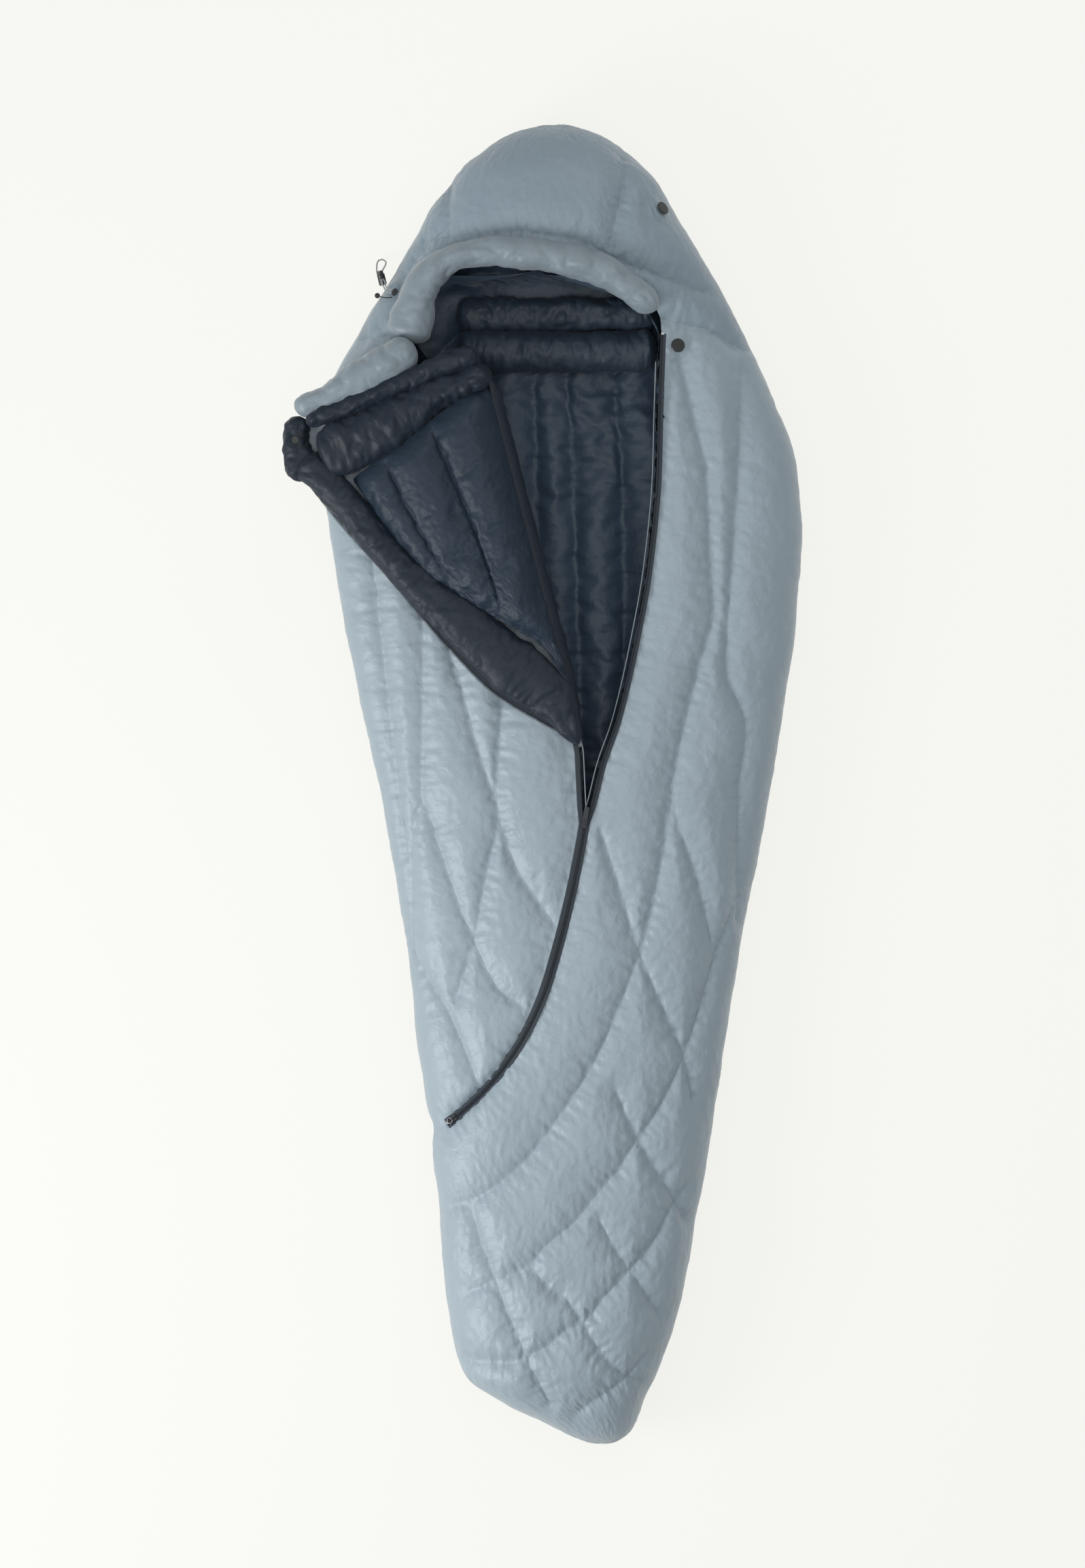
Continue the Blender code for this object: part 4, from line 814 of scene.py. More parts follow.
linings = {name: carve(inner, name, lambda c, k=k: lining_of(c) == k) for k, name in enumerate(
    ["back_inner_cloth", "front_left_inner_cloth", "front_main_inner_cloth", "foot_inner_cloth",
     "neck_inner_cloth", "hood_inner_cloth"])}
bpy.data.objects.remove(inner)

# %% [markdown]
# Tubes stuffed with down edge the face opening, the neck and the zip. Their cloth is cut
# longer than the seam it is sewn to, so it gathers into sharp creases with round puffs
# between them. A wave with sharp valleys, stretched round the tube, gives that.

# %% Gathered tubes
def gathered_tube(name, path, width, height, gather=0.0022, wave=0.011, taper=0.03, around=48,
                  step=0.0028, seed=0.0, ups=None):
    """A stuffed tube along a path. Width and height are half sizes, one or one for each point."""
    given = np.asarray(path, float)
    stations = travelled(given)
    stations /= stations[-1]
    path = curved(path, step)
    ups = np.tile(UP, (len(path), 1)) if ups is None else ups
    side = across(path, ups)
    top = np.cross(side, np.gradient(path, axis=0))
    top /= np.linalg.norm(top, axis=1, keepdims=True)
    travel = travelled(path)
    share = travel / travel[-1]
    near_end = np.clip(np.minimum(travel, travel[-1] - travel) / taper, 0, 1)
    rounding = np.sqrt(np.clip(1 - (1 - near_end) ** 2, 0, 1))
    widths, heights = (rounding * np.interp(share, stations, np.broadcast_to(v, len(stations)))
                       for v in (width, height))

    def place(u, v):
        row = np.rint(v * (len(path) - 1)).astype(int)
        turn = u * 2 * math.pi
        folds = np.empty(len(u))
        for i in range(len(u)):
            a, b = travel[row[i]], turn[i]
            spin = (math.cos(b) * 0.9 + seed, math.sin(b) * 0.9)
            big = noise.noise((a / 0.045, spin[0] * 0.8, spin[1] * 0.8))
            fine = abs(noise.noise((a / wave, spin[0], spin[1] + 5)))
            finer = abs(noise.noise((a / (wave * 0.45), spin[0] * 1.6, spin[1] * 1.6 + 9)))
            folds[i] = 0.8 * big + 1.5 * fine + 0.6 * finer - 0.6
        lift = gather * folds * rounding[row]
        across_part = side[row] * ((widths[row] + lift) * np.cos(turn))[:, None]
        up_part = top[row] * ((heights[row] + lift) * np.sin(turn))[:, None]
        return path[row] + across_part + up_part

    bm = grid(around, len(path) - 1, place)
    bmesh.ops.remove_doubles(bm, verts=bm.verts[:], dist=1e-5)
    bmesh.ops.recalc_face_normals(bm, faces=bm.faces[:])
    obj = as_object(name, bm)
    refine(obj)
    print(name, len(obj.data.polygons), "faces,", round(travel[-1], 3), "m long")
    return obj


def collar_tube(name, node, y, half_width, seed):
    """A padded band across the neck, at the height of its solid."""
    low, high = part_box(node)
    z = (low.z + high.z) / 2
    path = [(-0.138, y, z), (-0.06, y, z), (0.03, y, z), (0.12, y, z), (0.184, y + 0.004, z)]
    return gathered_tube(name, path, half_width, (high.z - low.z) / 2, gather=0.0042, wave=0.020,
                         seed=seed, taper=0.02)


face_rim = gathered_tube(
    "face_rim_tube", RIM_LINE,
    [0.017, 0.023, 0.025, 0.026, 0.026, 0.025, 0.023, 0.021, 0.024, 0.027, 0.030, 0.036, 0.036],
    [0.020, 0.024, 0.026, 0.027, 0.027, 0.027, 0.026, 0.026, 0.027, 0.029, 0.032, 0.034, 0.032],
    gather=0.0038, wave=0.040, taper=0.022)
collars = [collar_tube("collar_upper_tube", "collar_upper", 0.752, 0.028, 3.0),
           collar_tube("collar_lower_tube", "collar_lower", 0.692, 0.034, 8.0)]
draft_path = (chain - UP * (WALL + 0.017))[8::8]
zip_draft = gathered_tube("zip_draft_cover", draft_path, 0.014, 0.013, seed=11.0, around=28,
                          step=0.005)

# %% [markdown]
# The flap lies folded back on the bag with its lining up. Its field runs from the fold to
# the draft tube, and it is puffed like the bag's own cloth. Its shell is underneath.

# %% The flap's lining and shell
def flap_rest(points):
    """Height of the flap's underside above each point."""
    away = np.maximum((np.asarray(points)[..., :2] - FOLD_FOOT[:2]) @ FOLD_LEFT[:2], 0)
    return 0.1810 - 0.018 * (away / 0.3) ** 2


FLAP_THICK = 0.042
FLAP_EDGE_LINE = [(0.060, 0.066), (-0.0045, 0.100), (-0.0763, 0.1445), (-0.1536, 0.2218),
                  (-0.2475, 0.3323), (-0.3441, 0.4428), (-0.369, 0.4814), (-0.402, 0.515)]
DRAFT_SEAM = [(0.052, 0.095), (0.034, 0.160), (0.002, 0.212), (-0.054, 0.2495), (-0.1315, 0.294),
              (-0.192, 0.338), (-0.2475, 0.404), (-0.300, 0.4814)]
flap_edge = curved(FLAP_EDGE_LINE)
draft_seam = curved(DRAFT_SEAM)
FIELD_TOP = 0.875


def between_edges(fold_share, outer, u, v):
    """Points between the fold line and an outer line, row by row."""
    near = FOLD_FOOT[:2] + (FOLD_NECK - FOLD_FOOT)[:2] * (fold_share * v + 0.02)[:, None]
    place = v * (len(outer) - 1)
    far = np.stack([np.interp(place, np.arange(len(outer)), outer[:, k]) for k in (0, 1)], axis=1)
    return near + (far - near) * u[:, None]


def field_place(u, v):
    flat = between_edges(FIELD_TOP, draft_seam, u, v)
    near = FOLD_FOOT[2] + roll_radius(FIELD_TOP * v + 0.02)
    width = np.linalg.norm(between_edges(FIELD_TOP, draft_seam, u * 0 + 1, v)
                           - between_edges(FIELD_TOP, draft_seam, u * 0, v), axis=1)
    full = flap_rest(flat) + FLAP_THICK
    far = flap_rest(flat) + FLAP_THICK * 0.62
    rise = 1 - np.exp(-((1 - u) * width / 0.020) ** 2)
    height = far + (full - far) * rise
    ridge = np.minimum(0.048, width * 0.6)
    slope = np.clip(u * width / np.maximum(ridge, 0.002), 0, 1)
    slope = np.sin(slope * math.pi / 2) ** 1.2
    height = near + (height - near) * slope
    return np.column_stack([flat, height - 0.012 * np.exp(-((1 - v) * 0.6 / 0.02) ** 2)])


field_bm = grid(56, 110, field_place)
face_toward(field_bm, (0, 0, 1))
field_bm.verts.index_update()
flap_seams = []
for points in ([(-0.110, 0.285), (-0.160, 0.345), (-0.205, 0.420), (-0.247, 0.505)],
               [(-0.060, 0.260), (-0.100, 0.380), (-0.140, 0.480), (-0.175, 0.560)]):
    line = curved(points)
    flap_seams.append(np.column_stack([line, flap_rest(line) + FLAP_THICK - 0.005]))
flap_points = stitch(field_bm, flap_seams)
flap_bounds = open_edge(field_bm)
field = as_object("flap_inner_cloth", field_bm)
field_edges = points_of(field.data)[sorted(flap_bounds)]
swell(field, flap_seams + [field_edges], 0.010, 0.026)
puff(field, flap_points | flap_bounds, push=3.0, growth=0.02, limit=0.012, frames=20, bend=1.5)
refine(field)
pleat(field, flap_seams + [np.column_stack([draft_seam, flap_rest(draft_seam) + 0.026]),
                           fold + UP * FOLD_RADIUS], height=0.0022, fade=0.045, wave=0.032)
outer_line = np.concatenate([flap_edge, dense([flap_edge[-1], (-0.396, 0.555), (-0.375, 0.580)])])
outer_line = outer_line + (np.array([-0.12, 0.45]) - outer_line) * 0.03


SHELL_RISE = 0.004


def under_place(u, v):
    flat = between_edges(0.78, outer_line, u, v)
    return np.column_stack([flat, flap_rest(flat) + SHELL_RISE])


flap_under_bm = grid(64, 100, under_place)
face_toward(flap_under_bm, (0, 0, -1))
under_bounds = sorted(open_edge(flap_under_bm))
flap_under = as_object("flap_shell_cloth", flap_under_bm)
shell_seams = [np.column_stack([line[:, :2], flap_rest(line) + SHELL_RISE]) for line in flap_seams]
swell(flap_under, shell_seams + [points_of(flap_under.data)[under_bounds]], SHELL_RISE, 0.020)
pleat(flap_under, shell_seams, height=0.0012)
print("flap", len(field.data.polygons), "lining faces")

# %% [markdown]
# The fold itself is the lining rolled over the hinge line. It is one half round strip that
# follows the bag at its lower edge and the flap at its upper edge.

# %% The rolled fold
def roll_place(u, v):
    share = v * FOLD_SHARE
    line = FOLD_FOOT + (FOLD_NECK - FOLD_FOOT) * share[:, None]
    turn = (u - 0.5) * math.pi
    radius = roll_radius(share)
    wobble = np.array([
        0.0022 * noise.noise((a / 0.03, b * 1.5, 1.0)) + 0.0016 * abs(noise.noise((a / 0.012, b, 4)))
        for a, b in zip(share * 0.66, turn)]) * np.cos(turn) * radius / FOLD_RADIUS
    out = -FOLD_LEFT * (np.cos(turn) * (radius + wobble))[:, None]
    return line + out + UP * (np.sin(turn) * radius)[:, None]


roll_bm = grid(28, 180, roll_place)
face_toward(roll_bm, (1, 0, 0))
roll = as_object("fold_lining_roll", roll_bm)
print("fold roll", len(roll.data.polygons), "faces")

# %% [markdown]
# Along the flap's free sides come its own draft tube, its two collar tubes, the end of the
# face rim and a small dark pad at the tip.

# %% The flap's tubes
def on_flap(points, lift):
    points = np.asarray(points, float)
    return np.column_stack([points[:, :2], flap_rest(points) + lift])


def rest_on_shell(tube):
    """Flattens a tube's underside where it lies on the flap's shell."""
    points = points_of(tube.data)
    points[:, 2] = np.maximum(points[:, 2], flap_rest(points) + SHELL_RISE + 0.0012)
    set_points(tube.data, points)


flap_draft = gathered_tube(
    "flap_draft_cover",
    on_flap([(0.0565, 0.062), (0.018, 0.131), (-0.044, 0.184), (-0.125, 0.252), (-0.229, 0.347),
             (-0.325, 0.461), (-0.378, 0.516)], 0.021),
    [0.008, 0.036, 0.046, 0.037, 0.027, 0.028, 0.027],
    [0.014, 0.020, 0.021, 0.021, 0.021, 0.021, 0.020], gather=0.0038, wave=0.030, seed=21.0,
    taper=0.02, around=64)
flap_lower = gathered_tube(
    "flap_collar_lower_tube",
    on_flap([(-0.080, 0.648), (-0.165, 0.614), (-0.235, 0.571), (-0.318, 0.530), (-0.352, 0.516)],
            0.026),
    [0.016, 0.026, 0.041, 0.046, 0.040], [0.020, 0.023, 0.025, 0.025, 0.022], gather=0.0060,
    wave=0.024, seed=31.0, taper=0.016, around=64)
flap_upper = gathered_tube(
    "flap_collar_upper_tube",
    on_flap([(-0.102, 0.676), (-0.170, 0.653), (-0.260, 0.615), (-0.338, 0.583), (-0.374, 0.570)],
            0.028),
    [0.022, 0.018, 0.016, 0.015, 0.014], [0.016, 0.017, 0.016, 0.016, 0.015], gather=0.0036,
    wave=0.018, seed=37.0, taper=0.016)
flap_rim = gathered_tube(
    "flap_rim_tube",
    on_flap([(-0.203, 0.694), (-0.245, 0.661), (-0.295, 0.634), (-0.345, 0.608), (-0.392, 0.592)],
            0.020),
    [0.026, 0.032, 0.028, 0.020, 0.019], [0.026, 0.029, 0.026, 0.021, 0.019], gather=0.0038,
    wave=0.036, seed=41.0, taper=0.022)
for tube in (flap_draft, flap_lower, flap_upper):
    rest_on_shell(tube)
low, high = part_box("flap_tip_pad")
tip_middle = (low + high) / 2
tip_pad = gathered_tube("flap_tip_cover",
                        [(-0.368, 0.480, tip_middle.z - 0.004), (-0.383, 0.512, tip_middle.z - 0.003),
                         (-0.389, 0.545, tip_middle.z - 0.003), (-0.384, 0.582, tip_middle.z - 0.003)],
                        [0.024, 0.027, 0.022, 0.022], 0.0165, gather=0.0042, wave=0.016, seed=47.0,
                        taper=0.024)

# %% [markdown]
# The zip is a pair of woven tapes with a nylon coil along each inner edge. The coil is a row
# of small bent teeth, so one tooth is made and set at every step of the chain. The two
# halves sit half a step apart where they mesh.

# %% Zip tapes and coils
PITCH = 0.0014


def ribbon(name, path, ups, inner, outer, thickness=0.0008):
    """A flat tape beside a path, from one offset to another."""
    side = across(path, ups)
    count = len(path) - 1

    def place(u, v):
        row = np.rint(v * count).astype(int)
        offset = inner + (outer - inner) * u
        return path[row] + side[row] * offset[:, None]

    bm = grid(6, count, place)
    bmesh.ops.recalc_face_normals(bm, faces=bm.faces[:])
    bmesh.ops.solidify(bm, geom=bm.faces[:], thickness=thickness)
    bmesh.ops.recalc_face_normals(bm, faces=bm.faces[:])
    return as_object(name, bm)


def coil(name, path, ups, side_sign, shift=0.0):
    """A row of teeth along a path."""
    travel = travelled(path)
    side = across(path, ups)
    ahead = np.gradient(path, axis=0)
    ahead /= np.linalg.norm(ahead, axis=1, keepdims=True)
    bm = bmesh.new()
    places = np.arange(shift + PITCH / 2, travel[-1] - PITCH / 2, PITCH)
    for place in places:
        i = min(int(np.searchsorted(travel, place)), len(path) - 1)
        centre = [np.interp(place, travel, path[:, k]) for k in range(3)]
        turn = Matrix((side[i], ahead[i], ups[i])).transposed().to_4x4()
        move = Matrix.Translation(Vector(centre) + Vector(side[i]) * side_sign * 0.0013
                                  + Vector(ups[i]) * 0.0008)
        scale = Matrix.Diagonal((0.0021, 0.00052, 0.00125, 1))
        bmesh.ops.create_icosphere(bm, subdivisions=1, radius=1.0, matrix=move @ turn @ scale)
    obj = as_object(name, bm)
    print(name, len(places), "teeth")
    return obj


step = 2
tapes = {
    "right": ribbon("zip_right_ribbon", right_path[::step], right_ups[::step], 0.0004, 0.0085),
    "left": ribbon("zip_left_ribbon", left_path[::step], left_ups[::step], -0.0004, -0.0085),
}
coils = {
    "right": coil("zip_right_teeth", right_path, right_ups, 1),
    "left": coil("zip_left_teeth", left_path, left_ups, -1, PITCH / 2),
}
flap_zip = on_flap(flap_edge[8:-20], 0.0045)
flap_ups = np.tile(UP, (len(flap_zip), 1))
tapes["flap"] = ribbon("flap_zip_ribbon", flap_zip[::2], flap_ups[::2], 0.0, 0.010)
coils["flap"] = coil("flap_zip_teeth", flap_zip, flap_ups, -1)

# %% [markdown]
# A thin reflective piping is sewn beside both open halves of the zip. It is a plain round
# cord in a sleeve.

# %% Piping
def thin_tube(name, path, radius, around=10):
    """A round tube along a path, with closed ends."""
    path = np.asarray(path, float)
    side = across(path, np.tile(UP, (len(path), 1)))
    top = np.cross(side, np.gradient(path, axis=0))
    top /= np.linalg.norm(top, axis=1, keepdims=True)
    ends = np.ones(len(path))
    ends[[0, -1]] = 0

    def place(u, v):
        row = np.rint(v * (len(path) - 1)).astype(int)
        turn = u * 2 * math.pi
        size = (radius * ends[row])[:, None]
        return path[row] + side[row] * np.cos(turn)[:, None] * size + top[row] * np.sin(turn)[:, None] * size

    bm = grid(around, len(path) - 1, place)
    bmesh.ops.remove_doubles(bm, verts=bm.verts[:], dist=1e-6)
    bmesh.ops.recalc_face_normals(bm, faces=bm.faces[:])
    return as_object(name, bm)


right_open = raised(right_half, ZIP_TOP - 0.002)[4:-20:2]
left_open = raised(left_half, ZIP_TOP)[2::2]
PIPING = 0.0009


def beside(path, offset):
    """A path moved sideways, to the right as one looks up the bag."""
    return path + across(path, np.tile(UP, (len(path), 1))) * offset


pipings = [thin_tube("piping_right_cord", beside(right_open, -0.0062), PIPING),
           thin_tube("piping_left_cord", beside(left_open, 0.0055), PIPING)]
print("piping", len(right_open), "and", len(left_open), "points")

# %% [markdown]
# The hood's drawcord comes out of an eyelet as a loop of grey elastic, passes through the
# cord lock and back. A short black tail with an oval bead hangs beside it. Both are curves,
# with the same points as in the solid model, so that they keep their real lengths.

# %% The drawcord loop and the tail
eyelet = Vector((-0.235608, 0.781793, 0.136515))
lock_at = Vector((-0.2560, 0.8040, 0.1120))
drop = Vector((-0.12, 0.22, -0.97)).normalized()
barrel_way = Vector((-0.25, 0.97, 0.0))
barrel_way = (barrel_way - drop * barrel_way.dot(drop)).normalized()
strand_way = drop.cross(barrel_way).normalized()
if strand_way.x > 0:
    strand_way.negate()
LOOP_CORD, TAIL_CORD, STRAND_SPACING = 0.0024, 0.0018, 0.0030
outer_strand = lock_at + strand_way * STRAND_SPACING / 2
inner_strand = lock_at - strand_way * STRAND_SPACING / 2


def hang(start, offsets):
    return [start + Vector(offset) for offset in offsets]


STRAIGHT = [0.010, 0.026, 0.042, 0.058]
loop_route = (
    [eyelet + Vector((-0.004, -0.002, 0.0020)), eyelet + Vector((-0.014, 0.003, -0.0005))]
    + [outer_strand - drop * 0.022 + Vector((-0.001, 0, 0)), outer_strand - drop * 0.011, outer_strand]
    + [outer_strand + drop * reach for reach in STRAIGHT]
    + hang(outer_strand, [(-0.0095, 0.0230, -0.0820), (-0.0100, 0.0340, -0.1010),
                          (-0.0075, 0.0420, -0.1085), (-0.0010, 0.0440, -0.1090)])
    + hang(inner_strand, [(0.0020, 0.0380, -0.1055), (-0.0010, 0.0270, -0.0870)])
    + [inner_strand + drop * reach for reach in reversed(STRAIGHT)]
    + [inner_strand, inner_strand - drop * 0.011,
       inner_strand - drop * 0.022 + Vector((0.001, 0, 0)), eyelet + Vector((-0.0125, 0.0055, 0.0022)),
       eyelet + Vector((-0.0040, 0.0030, 0.0030))]
)
tail_route = hang(eyelet, [(-0.0030, -0.0085, 0.0010), (-0.0090, -0.0095, 0.0010),
                           (-0.0170, -0.0080, -0.0075), (-0.0240, -0.0055, -0.0180),
                           (-0.0275, -0.0030, -0.0290)])


def cord_curve(name, route, diameter, count):
    """A round cord on a smooth curve through its route."""
    route = np.array([point[:] for point in route])
    lengths = travelled(route)
    places = np.linspace(0, lengths[-1], count)
    points = np.stack([smooth_table(lengths, column, places) for column in route.T], axis=1)
    data = bpy.data.curves.new(name, "CURVE")
    data.dimensions = "3D"
    data.bevel_depth = diameter / 2
    data.bevel_resolution = 3
    data.use_fill_caps = True
    spline = data.splines.new("POLY")
    spline.points.add(count - 1)
    for item, point in zip(spline.points, points):
        item.co = (*point, 1)
    obj = bpy.data.objects.new(name, data)
    scene.collection.objects.link(obj)
    run = float(np.linalg.norm(np.diff(points, axis=0), axis=1).sum())
    print(name, round(run, 4), "m")
    return obj, run


loop_cord, loop_run = cord_curve("elastic_loop", loop_route, LOOP_CORD, 52)
tail_cord, tail_run = cord_curve("tail_string", tail_route, TAIL_CORD, 16)

# %% [markdown]
# The shell is a light nylon with a soft shine. Light runs along its small creases, so it has
# a low, broad gloss with a faint sheen on top, and fine wrinkles as bump that the mesh is too
# coarse for. Close to each thread the colour is darkened as painted shade, standing in for the
# shade in the seam valleys. The woven pieces add a rib, and the hard pieces are plain moulded
# plastic and metal.

# %% Materials
def tint(red, green, blue):
    """A linear colour from everyday 0 to 255 values."""
    parts = [c / 255 for c in (red, green, blue)]
    return tuple(c / 12.92 if c <= 0.04045 else ((c + 0.055) / 1.055) ** 2.4 for c in parts) + (1,)


def cloth_material(name, colour, rough=0.47, sheen=0.20, crease=0.45, fibre=0.08, painted_seam_shade=0.62,
                   mottle=0.05, spec=0.5):
    """Woven nylon over down, with painted shade along its seams."""
    material = bpy.data.materials.new(name)
    material.use_nodes = True
    nodes, links = material.node_tree.nodes, material.node_tree.links
    shader = nodes["Principled BSDF"]
    shader.inputs["Roughness"].default_value = rough
    shader.inputs["Sheen Weight"].default_value = sheen
    shader.inputs["Sheen Roughness"].default_value = 0.45
    shader.inputs["Specular IOR Level"].default_value = spec
    place = nodes.new("ShaderNodeTexCoord")
    patches = nodes.new("ShaderNodeTexNoise")
    patches.inputs["Scale"].default_value = 9
    patches.inputs["Detail"].default_value = 4
    thread = nodes.new("ShaderNodeAttribute")
    thread.attribute_name = "thread"
    spread = nodes.new("ShaderNodeMapRange")
    spread.inputs["To Min"].default_value = 1 - mottle
    spread.inputs["To Max"].default_value = 1 + mottle
    # Painted shade: the colour is darkened close to each seam thread, for the shade in the seam valleys.
    near = nodes.new("ShaderNodeMapRange")
    near.inputs["From Max"].default_value = 0.11
    near.inputs["To Min"].default_value = painted_seam_shade
    near.inputs["To Max"].default_value = 1.0
    both = nodes.new("ShaderNodeMath")
    both.operation = "MULTIPLY"
    paint = nodes.new("ShaderNodeVectorMath")
    paint.operation = "SCALE"
    paint.inputs[0].default_value = colour[:3]
    wrinkle = nodes.new("ShaderNodeTexNoise")
    wrinkle.inputs["Scale"].default_value = 55
    wrinkle.inputs["Detail"].default_value = 5
    wrinkle.inputs["Distortion"].default_value = 0.6
    weave = nodes.new("ShaderNodeTexNoise")
    weave.inputs["Scale"].default_value = 900
    soft = nodes.new("ShaderNodeBump")
    soft.inputs["Strength"].default_value = crease
    soft.inputs["Distance"].default_value = 0.004
    fine = nodes.new("ShaderNodeBump")
    fine.inputs["Strength"].default_value = fibre
    fine.inputs["Distance"].default_value = 0.0004
    for a, b in ((place.outputs["Object"], patches.inputs["Vector"]),
                 (place.outputs["Object"], wrinkle.inputs["Vector"]),
                 (place.outputs["Object"], weave.inputs["Vector"]),
                 (patches.outputs["Fac"], spread.inputs["Value"]),
                 (thread.outputs["Fac"], near.inputs["Value"]),
                 (spread.outputs["Result"], both.inputs[0]),
                 (near.outputs["Result"], both.inputs[1]),
                 (both.outputs["Value"], paint.inputs["Scale"]),
                 (paint.outputs["Vector"], shader.inputs["Base Color"]),
                 (wrinkle.outputs["Fac"], soft.inputs["Height"]),
                 (weave.outputs["Fac"], fine.inputs["Height"]),
                 (soft.outputs["Normal"], fine.inputs["Normal"]),
                 (fine.outputs["Normal"], shader.inputs["Normal"])):
        links.new(a, b)
    return material


def plain_material(name, colour, rough, metal=0.0, grain=0.15, scale=400, wear=0.12):
    """Moulded plastic, cast metal, cord or tape, with a fine grain."""
    material = bpy.data.materials.new(name)
    material.use_nodes = True
    nodes, links = material.node_tree.nodes, material.node_tree.links
    shader = nodes["Principled BSDF"]
    shader.inputs["Metallic"].default_value = metal
    place = nodes.new("ShaderNodeTexCoord")
    patches = nodes.new("ShaderNodeTexNoise")
    patches.inputs["Scale"].default_value = scale / 4
    spread = nodes.new("ShaderNodeMapRange")
    spread.inputs["To Min"].default_value = 1 - wear
    spread.inputs["To Max"].default_value = 1 + wear
    shine = nodes.new("ShaderNodeMapRange")
    shine.inputs["To Min"].default_value = rough - 0.08
    shine.inputs["To Max"].default_value = rough + 0.08
    paint = nodes.new("ShaderNodeVectorMath")
    paint.operation = "SCALE"
    paint.inputs[0].default_value = colour[:3]
    rib = nodes.new("ShaderNodeTexNoise")
    rib.inputs["Scale"].default_value = scale
    bump = nodes.new("ShaderNodeBump")
    bump.inputs["Strength"].default_value = grain
    bump.inputs["Distance"].default_value = 0.0004
    for a, b in ((place.outputs["Object"], patches.inputs["Vector"]),
                 (place.outputs["Object"], rib.inputs["Vector"]),
                 (patches.outputs["Fac"], spread.inputs["Value"]),
                 (patches.outputs["Fac"], shine.inputs["Value"]),
                 (spread.outputs["Result"], paint.inputs["Scale"]),
                 (paint.outputs["Vector"], shader.inputs["Base Color"]),
                 (shine.outputs["Result"], shader.inputs["Roughness"]),
                 (rib.outputs["Fac"], bump.inputs["Height"]),
                 (bump.outputs["Normal"], shader.inputs["Normal"])):
        links.new(a, b)
    return material


shell = cloth_material("shell_nylon", tint(140, 154, 163))
# Painted shade: the hood's cloth is the shell's fabric, given a darkened colour for the shade that falls on
# the hood.
shaded_hood_shell = cloth_material("hood_nylon", tint(126, 141, 151))
# Painted light: the face rim is the hood's fabric, given a lighter colour for the light on the rim's top.
lit_rim_shell = cloth_material("rim_nylon_painted_light", tint(150, 165, 174))
# Painted shade: the underside is the shell's fabric, given a darkened colour for the shade on the bag's
# lower sides.
shaded_under_shell = cloth_material("underside_nylon_painted_shade", tint(126, 139, 148))
dark_lining = cloth_material("lining_nylon", tint(55, 70, 85), rough=0.45, sheen=0.05, mottle=0.10,
                             spec=0.35)
# Painted shade: the flap, its tubes and the fold are the bag's lining fabric, given a darkened colour so
# that in full light they look as dark as the lining inside.
flap_lining = cloth_material("flap_lining_nylon_painted_shade", tint(28, 42, 56), rough=0.52, sheen=0.05,
                             mottle=0.10, spec=0.32)
tape_weave = plain_material("zip_tape", tint(40, 48, 57), 0.75, grain=0.5, scale=1600)
coil_nylon = plain_material("zip_coil", tint(48, 55, 62), 0.38, grain=0.05)
pale_piping = plain_material("reflective_piping", tint(124, 132, 138), 0.35, grain=0.2, scale=2400)
black_plastic = plain_material("black_plastic", tint(27, 29, 30), 0.42)
black_metal = plain_material("black_metal", tint(44, 47, 50), 0.36, metal=0.6, grain=0.08)
steel = plain_material("steel", tint(150, 152, 154), 0.28, metal=1.0, grain=0.04)
elastic = plain_material("elastic_cord", tint(150, 153, 153), 0.7, grain=0.7, scale=1500)
black_cord = plain_material("black_cord", tint(24, 25, 27), 0.65, grain=0.7, scale=1500)
print(len(bpy.data.materials), "materials")

# %% [markdown]
# Each finished cloth takes its place in the model: it gets its material, names the plain
# solids that it stands for, which are then hidden, and rides on its body.

# %% Dressing the soft pieces
def dress(obj, material, slot, body, *nodes, fill=None):
    obj.data.materials.clear()
    obj.data.materials.append(material)
    if nodes:
        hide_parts(*nodes)
    if body:
        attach(obj, body)


FULL = 0.7
dress(panels["front_main_cloth"], shell, "shell_nylon", "bag", "front_main_shell", "front_main_fill",
      fill=FULL)
dress(panels["front_left_cloth"], shell, "shell_nylon", "bag", "front_left_shell", "front_left_fill",
      fill=FULL)
dress(panels["foot_box_cloth"], shell, "shell_nylon", "bag", "foot_box_shell", "foot_box_fill",
      fill=FULL)
dress(panels["hood_left_cloth"], shaded_hood_shell, "hood_nylon", "bag", "hood_left_shell", fill=FULL)
dress(panels["hood_centre_cloth"], shaded_hood_shell, "hood_nylon", "bag", "hood_centre_shell", "hood_fill",
      fill=FULL)
dress(panels["hood_right_cloth"], shaded_hood_shell, "hood_nylon", "bag", "hood_right_shell", fill=FULL)
dress(panels["back_cloth"], shaded_under_shell, "shell_nylon", "bag", "back_shell", "back_fill", fill=0.5)
dress(panels["hood_back_cloth"], shaded_under_shell, "hood_nylon", "bag", "hood_back_shell", fill=0.5)
dress(panels["foot_back_cloth"], shaded_under_shell, "shell_nylon", "bag", "foot_box_shell", fill=0.5)
for name, nodes in {"back_inner_cloth": ["back_lining"], "front_left_inner_cloth": ["front_left_lining"],
                    "front_main_inner_cloth": ["front_main_lining"],
                    "foot_inner_cloth": ["foot_box_lining"],
                    "neck_inner_cloth": ["neck_lining", "neck_fill"],
                    "hood_inner_cloth": ["hood_lining"]}.items():
    dress(linings[name], dark_lining, "lining_nylon", "bag", *nodes, fill=0.5)
dress(face_rim, lit_rim_shell, "hood_nylon", "bag", "face_rim", fill=0.9)
dress(collars[0], dark_lining, "lining_nylon", "bag", "collar_upper", fill=0.9)
dress(collars[1], dark_lining, "lining_nylon", "bag", "collar_lower", fill=0.9)
dress(zip_draft, dark_lining, "lining_nylon", "bag", "zip_draft_tube", fill=0.9)
dress(field, flap_lining, "lining_nylon", "flap", "flap_lining", fill=0.6)
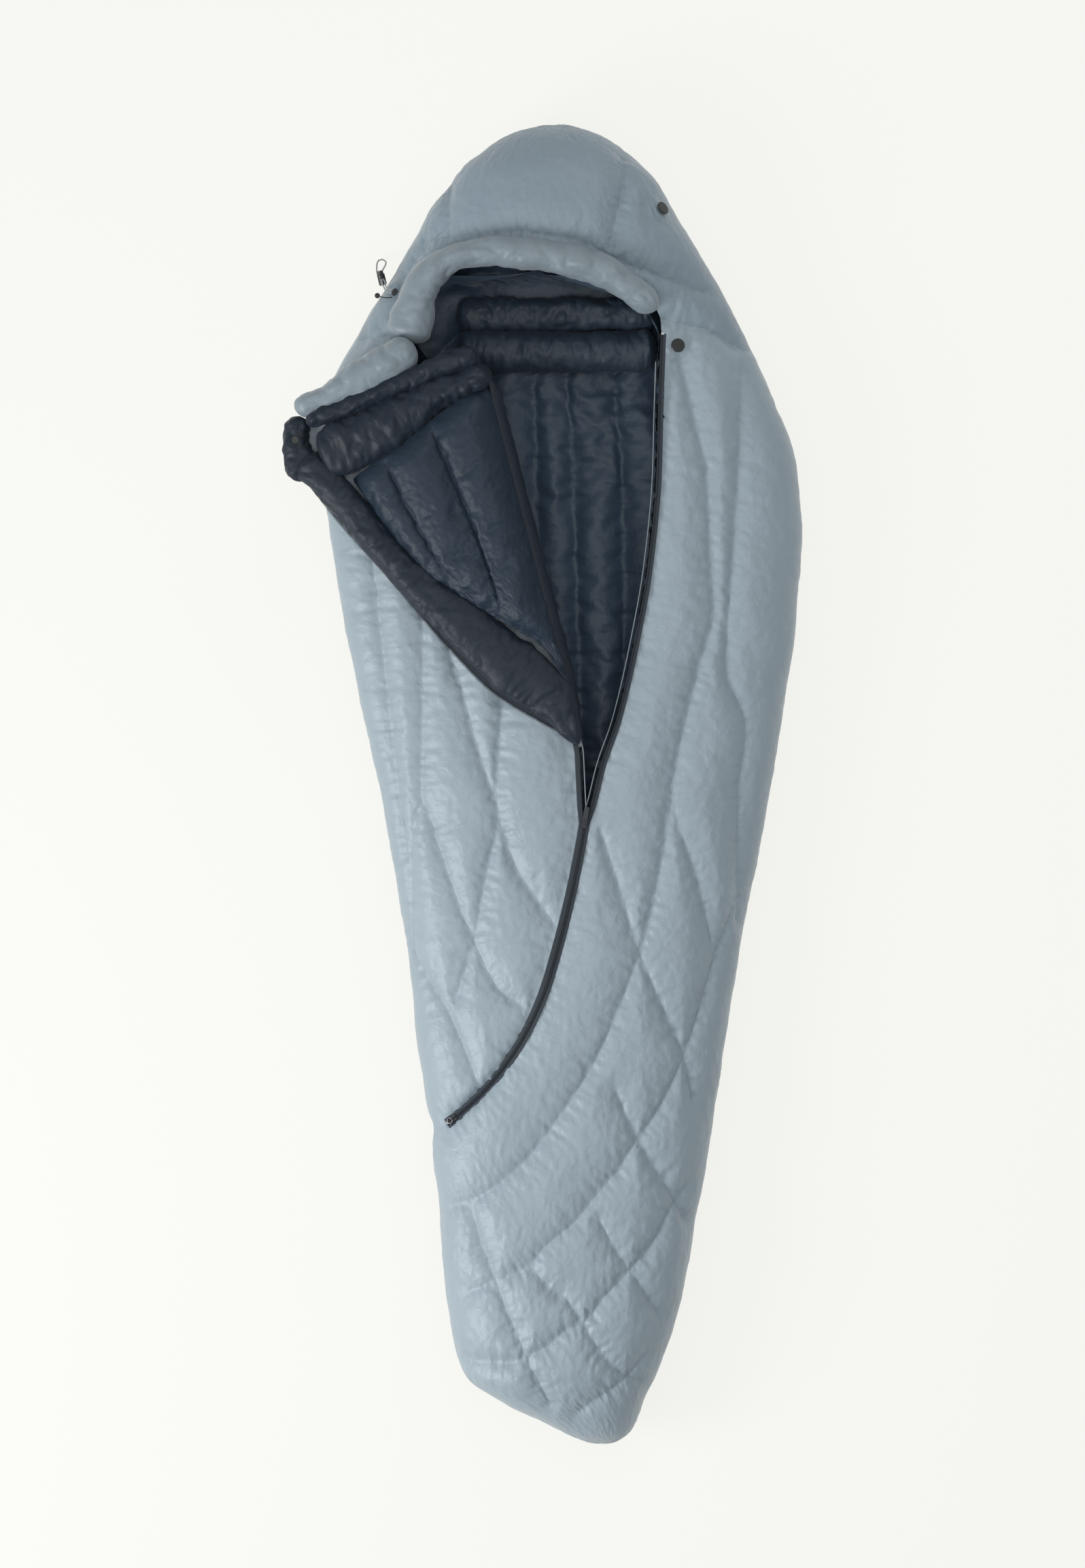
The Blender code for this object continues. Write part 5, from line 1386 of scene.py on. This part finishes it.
dress(flap_under, shell, "shell_nylon", "flap", "flap_shell", "flap_fill", fill=0.4)
dress(flap_draft, flap_lining, "lining_nylon", "flap", "flap_draft_tube", fill=0.9)
dress(flap_lower, flap_lining, "lining_nylon", "flap", "flap_collar_lower", fill=0.9)
dress(flap_upper, flap_lining, "lining_nylon", "flap", "flap_collar_upper", fill=0.9)
dress(flap_rim, lit_rim_shell, "hood_nylon", "flap", "flap_rim", fill=0.9)
dress(tip_pad, flap_lining, "lining_nylon", "flap", "flap_tip_pad", fill=0.9)
dress(roll, flap_lining, "lining_nylon", None)
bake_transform(roll)
for side, body in (("right", "bag"), ("left", "bag"), ("flap", "flap")):
    ahead = "flap_zip" if side == "flap" else "zip_" + side
    dress(tapes[side], tape_weave, "zip_tape", body, ahead + "_tape")
for side, body in (("right", "bag"), ("left", "bag"), ("flap", "flap")):
    ahead = "flap_zip" if side == "flap" else "zip_" + side
    dress(coils[side], coil_nylon, "zip_coil", body, ahead + "_coil")
dress(pipings[0], pale_piping, "reflective_piping", "bag", "piping_right")
dress(pipings[1], pale_piping, "reflective_piping", "bag", "piping_left")
dress(loop_cord, elastic, "elastic_cord", "bag", "drawcord_loop")
dress(tail_cord, black_cord, "black_cord", "bag", "tail_cord")
print("dressed", len(panels) + len(linings), "cloths")

# %% [markdown]
# The hard pieces already have their true shapes in the solid model. They keep them, with
# their own materials.

# %% Hard pieces
HARD = {
    "snap_cap": black_plastic, "side_cap": black_plastic, "snap_post": black_plastic,
    "flap_snap_socket": black_plastic, "cord_eyelet": black_plastic, "zip_slider_body": black_metal,
    "zip_slider_pull": black_metal, "foot_slider_body": black_metal, "foot_slider_ring": steel,
    "zip_top_stop": steel, "zip_bottom_stop": steel, "cord_lock_barrel": black_plastic,
    "cord_lock_plunger": black_plastic, "cord_lock_spring": steel, "tail_bead": black_plastic,
    "rim_drawcord": black_cord, "inner_tab": pale_piping,
}
for name, material in HARD.items():
    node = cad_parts[name]
    if node.material_slots:
        for item in node.material_slots:
            item.material = material
    else:
        node.data.materials.append(material)
print(len(HARD), "hard pieces keep their solids")

# %% [markdown]
# The floor is one large pale sheet, a millimetre or less under the bag.

# %% The floor
floor_bm = bmesh.new()
bmesh.ops.create_grid(floor_bm, x_segments=1, y_segments=1, size=6)
bmesh.ops.translate(floor_bm, vec=(0, 0, -0.0006), verts=floor_bm.verts)
floor = as_object("studio_floor", floor_bm)
floor_paint = bpy.data.materials.new("studio_floor")
floor_paint.use_nodes = True
floor_looks = {"Base Color": (0.10, 0.10, 0.098, 1), "Emission Color": (1, 1, 0.955, 1),
               "Emission Strength": 0.83, "Roughness": 0.9, "Specular IOR Level": 0.1}
for socket, value in floor_looks.items():
    floor_paint.node_tree.nodes["Principled BSDF"].inputs[socket].default_value = value
floor.data.materials.append(floor_paint)
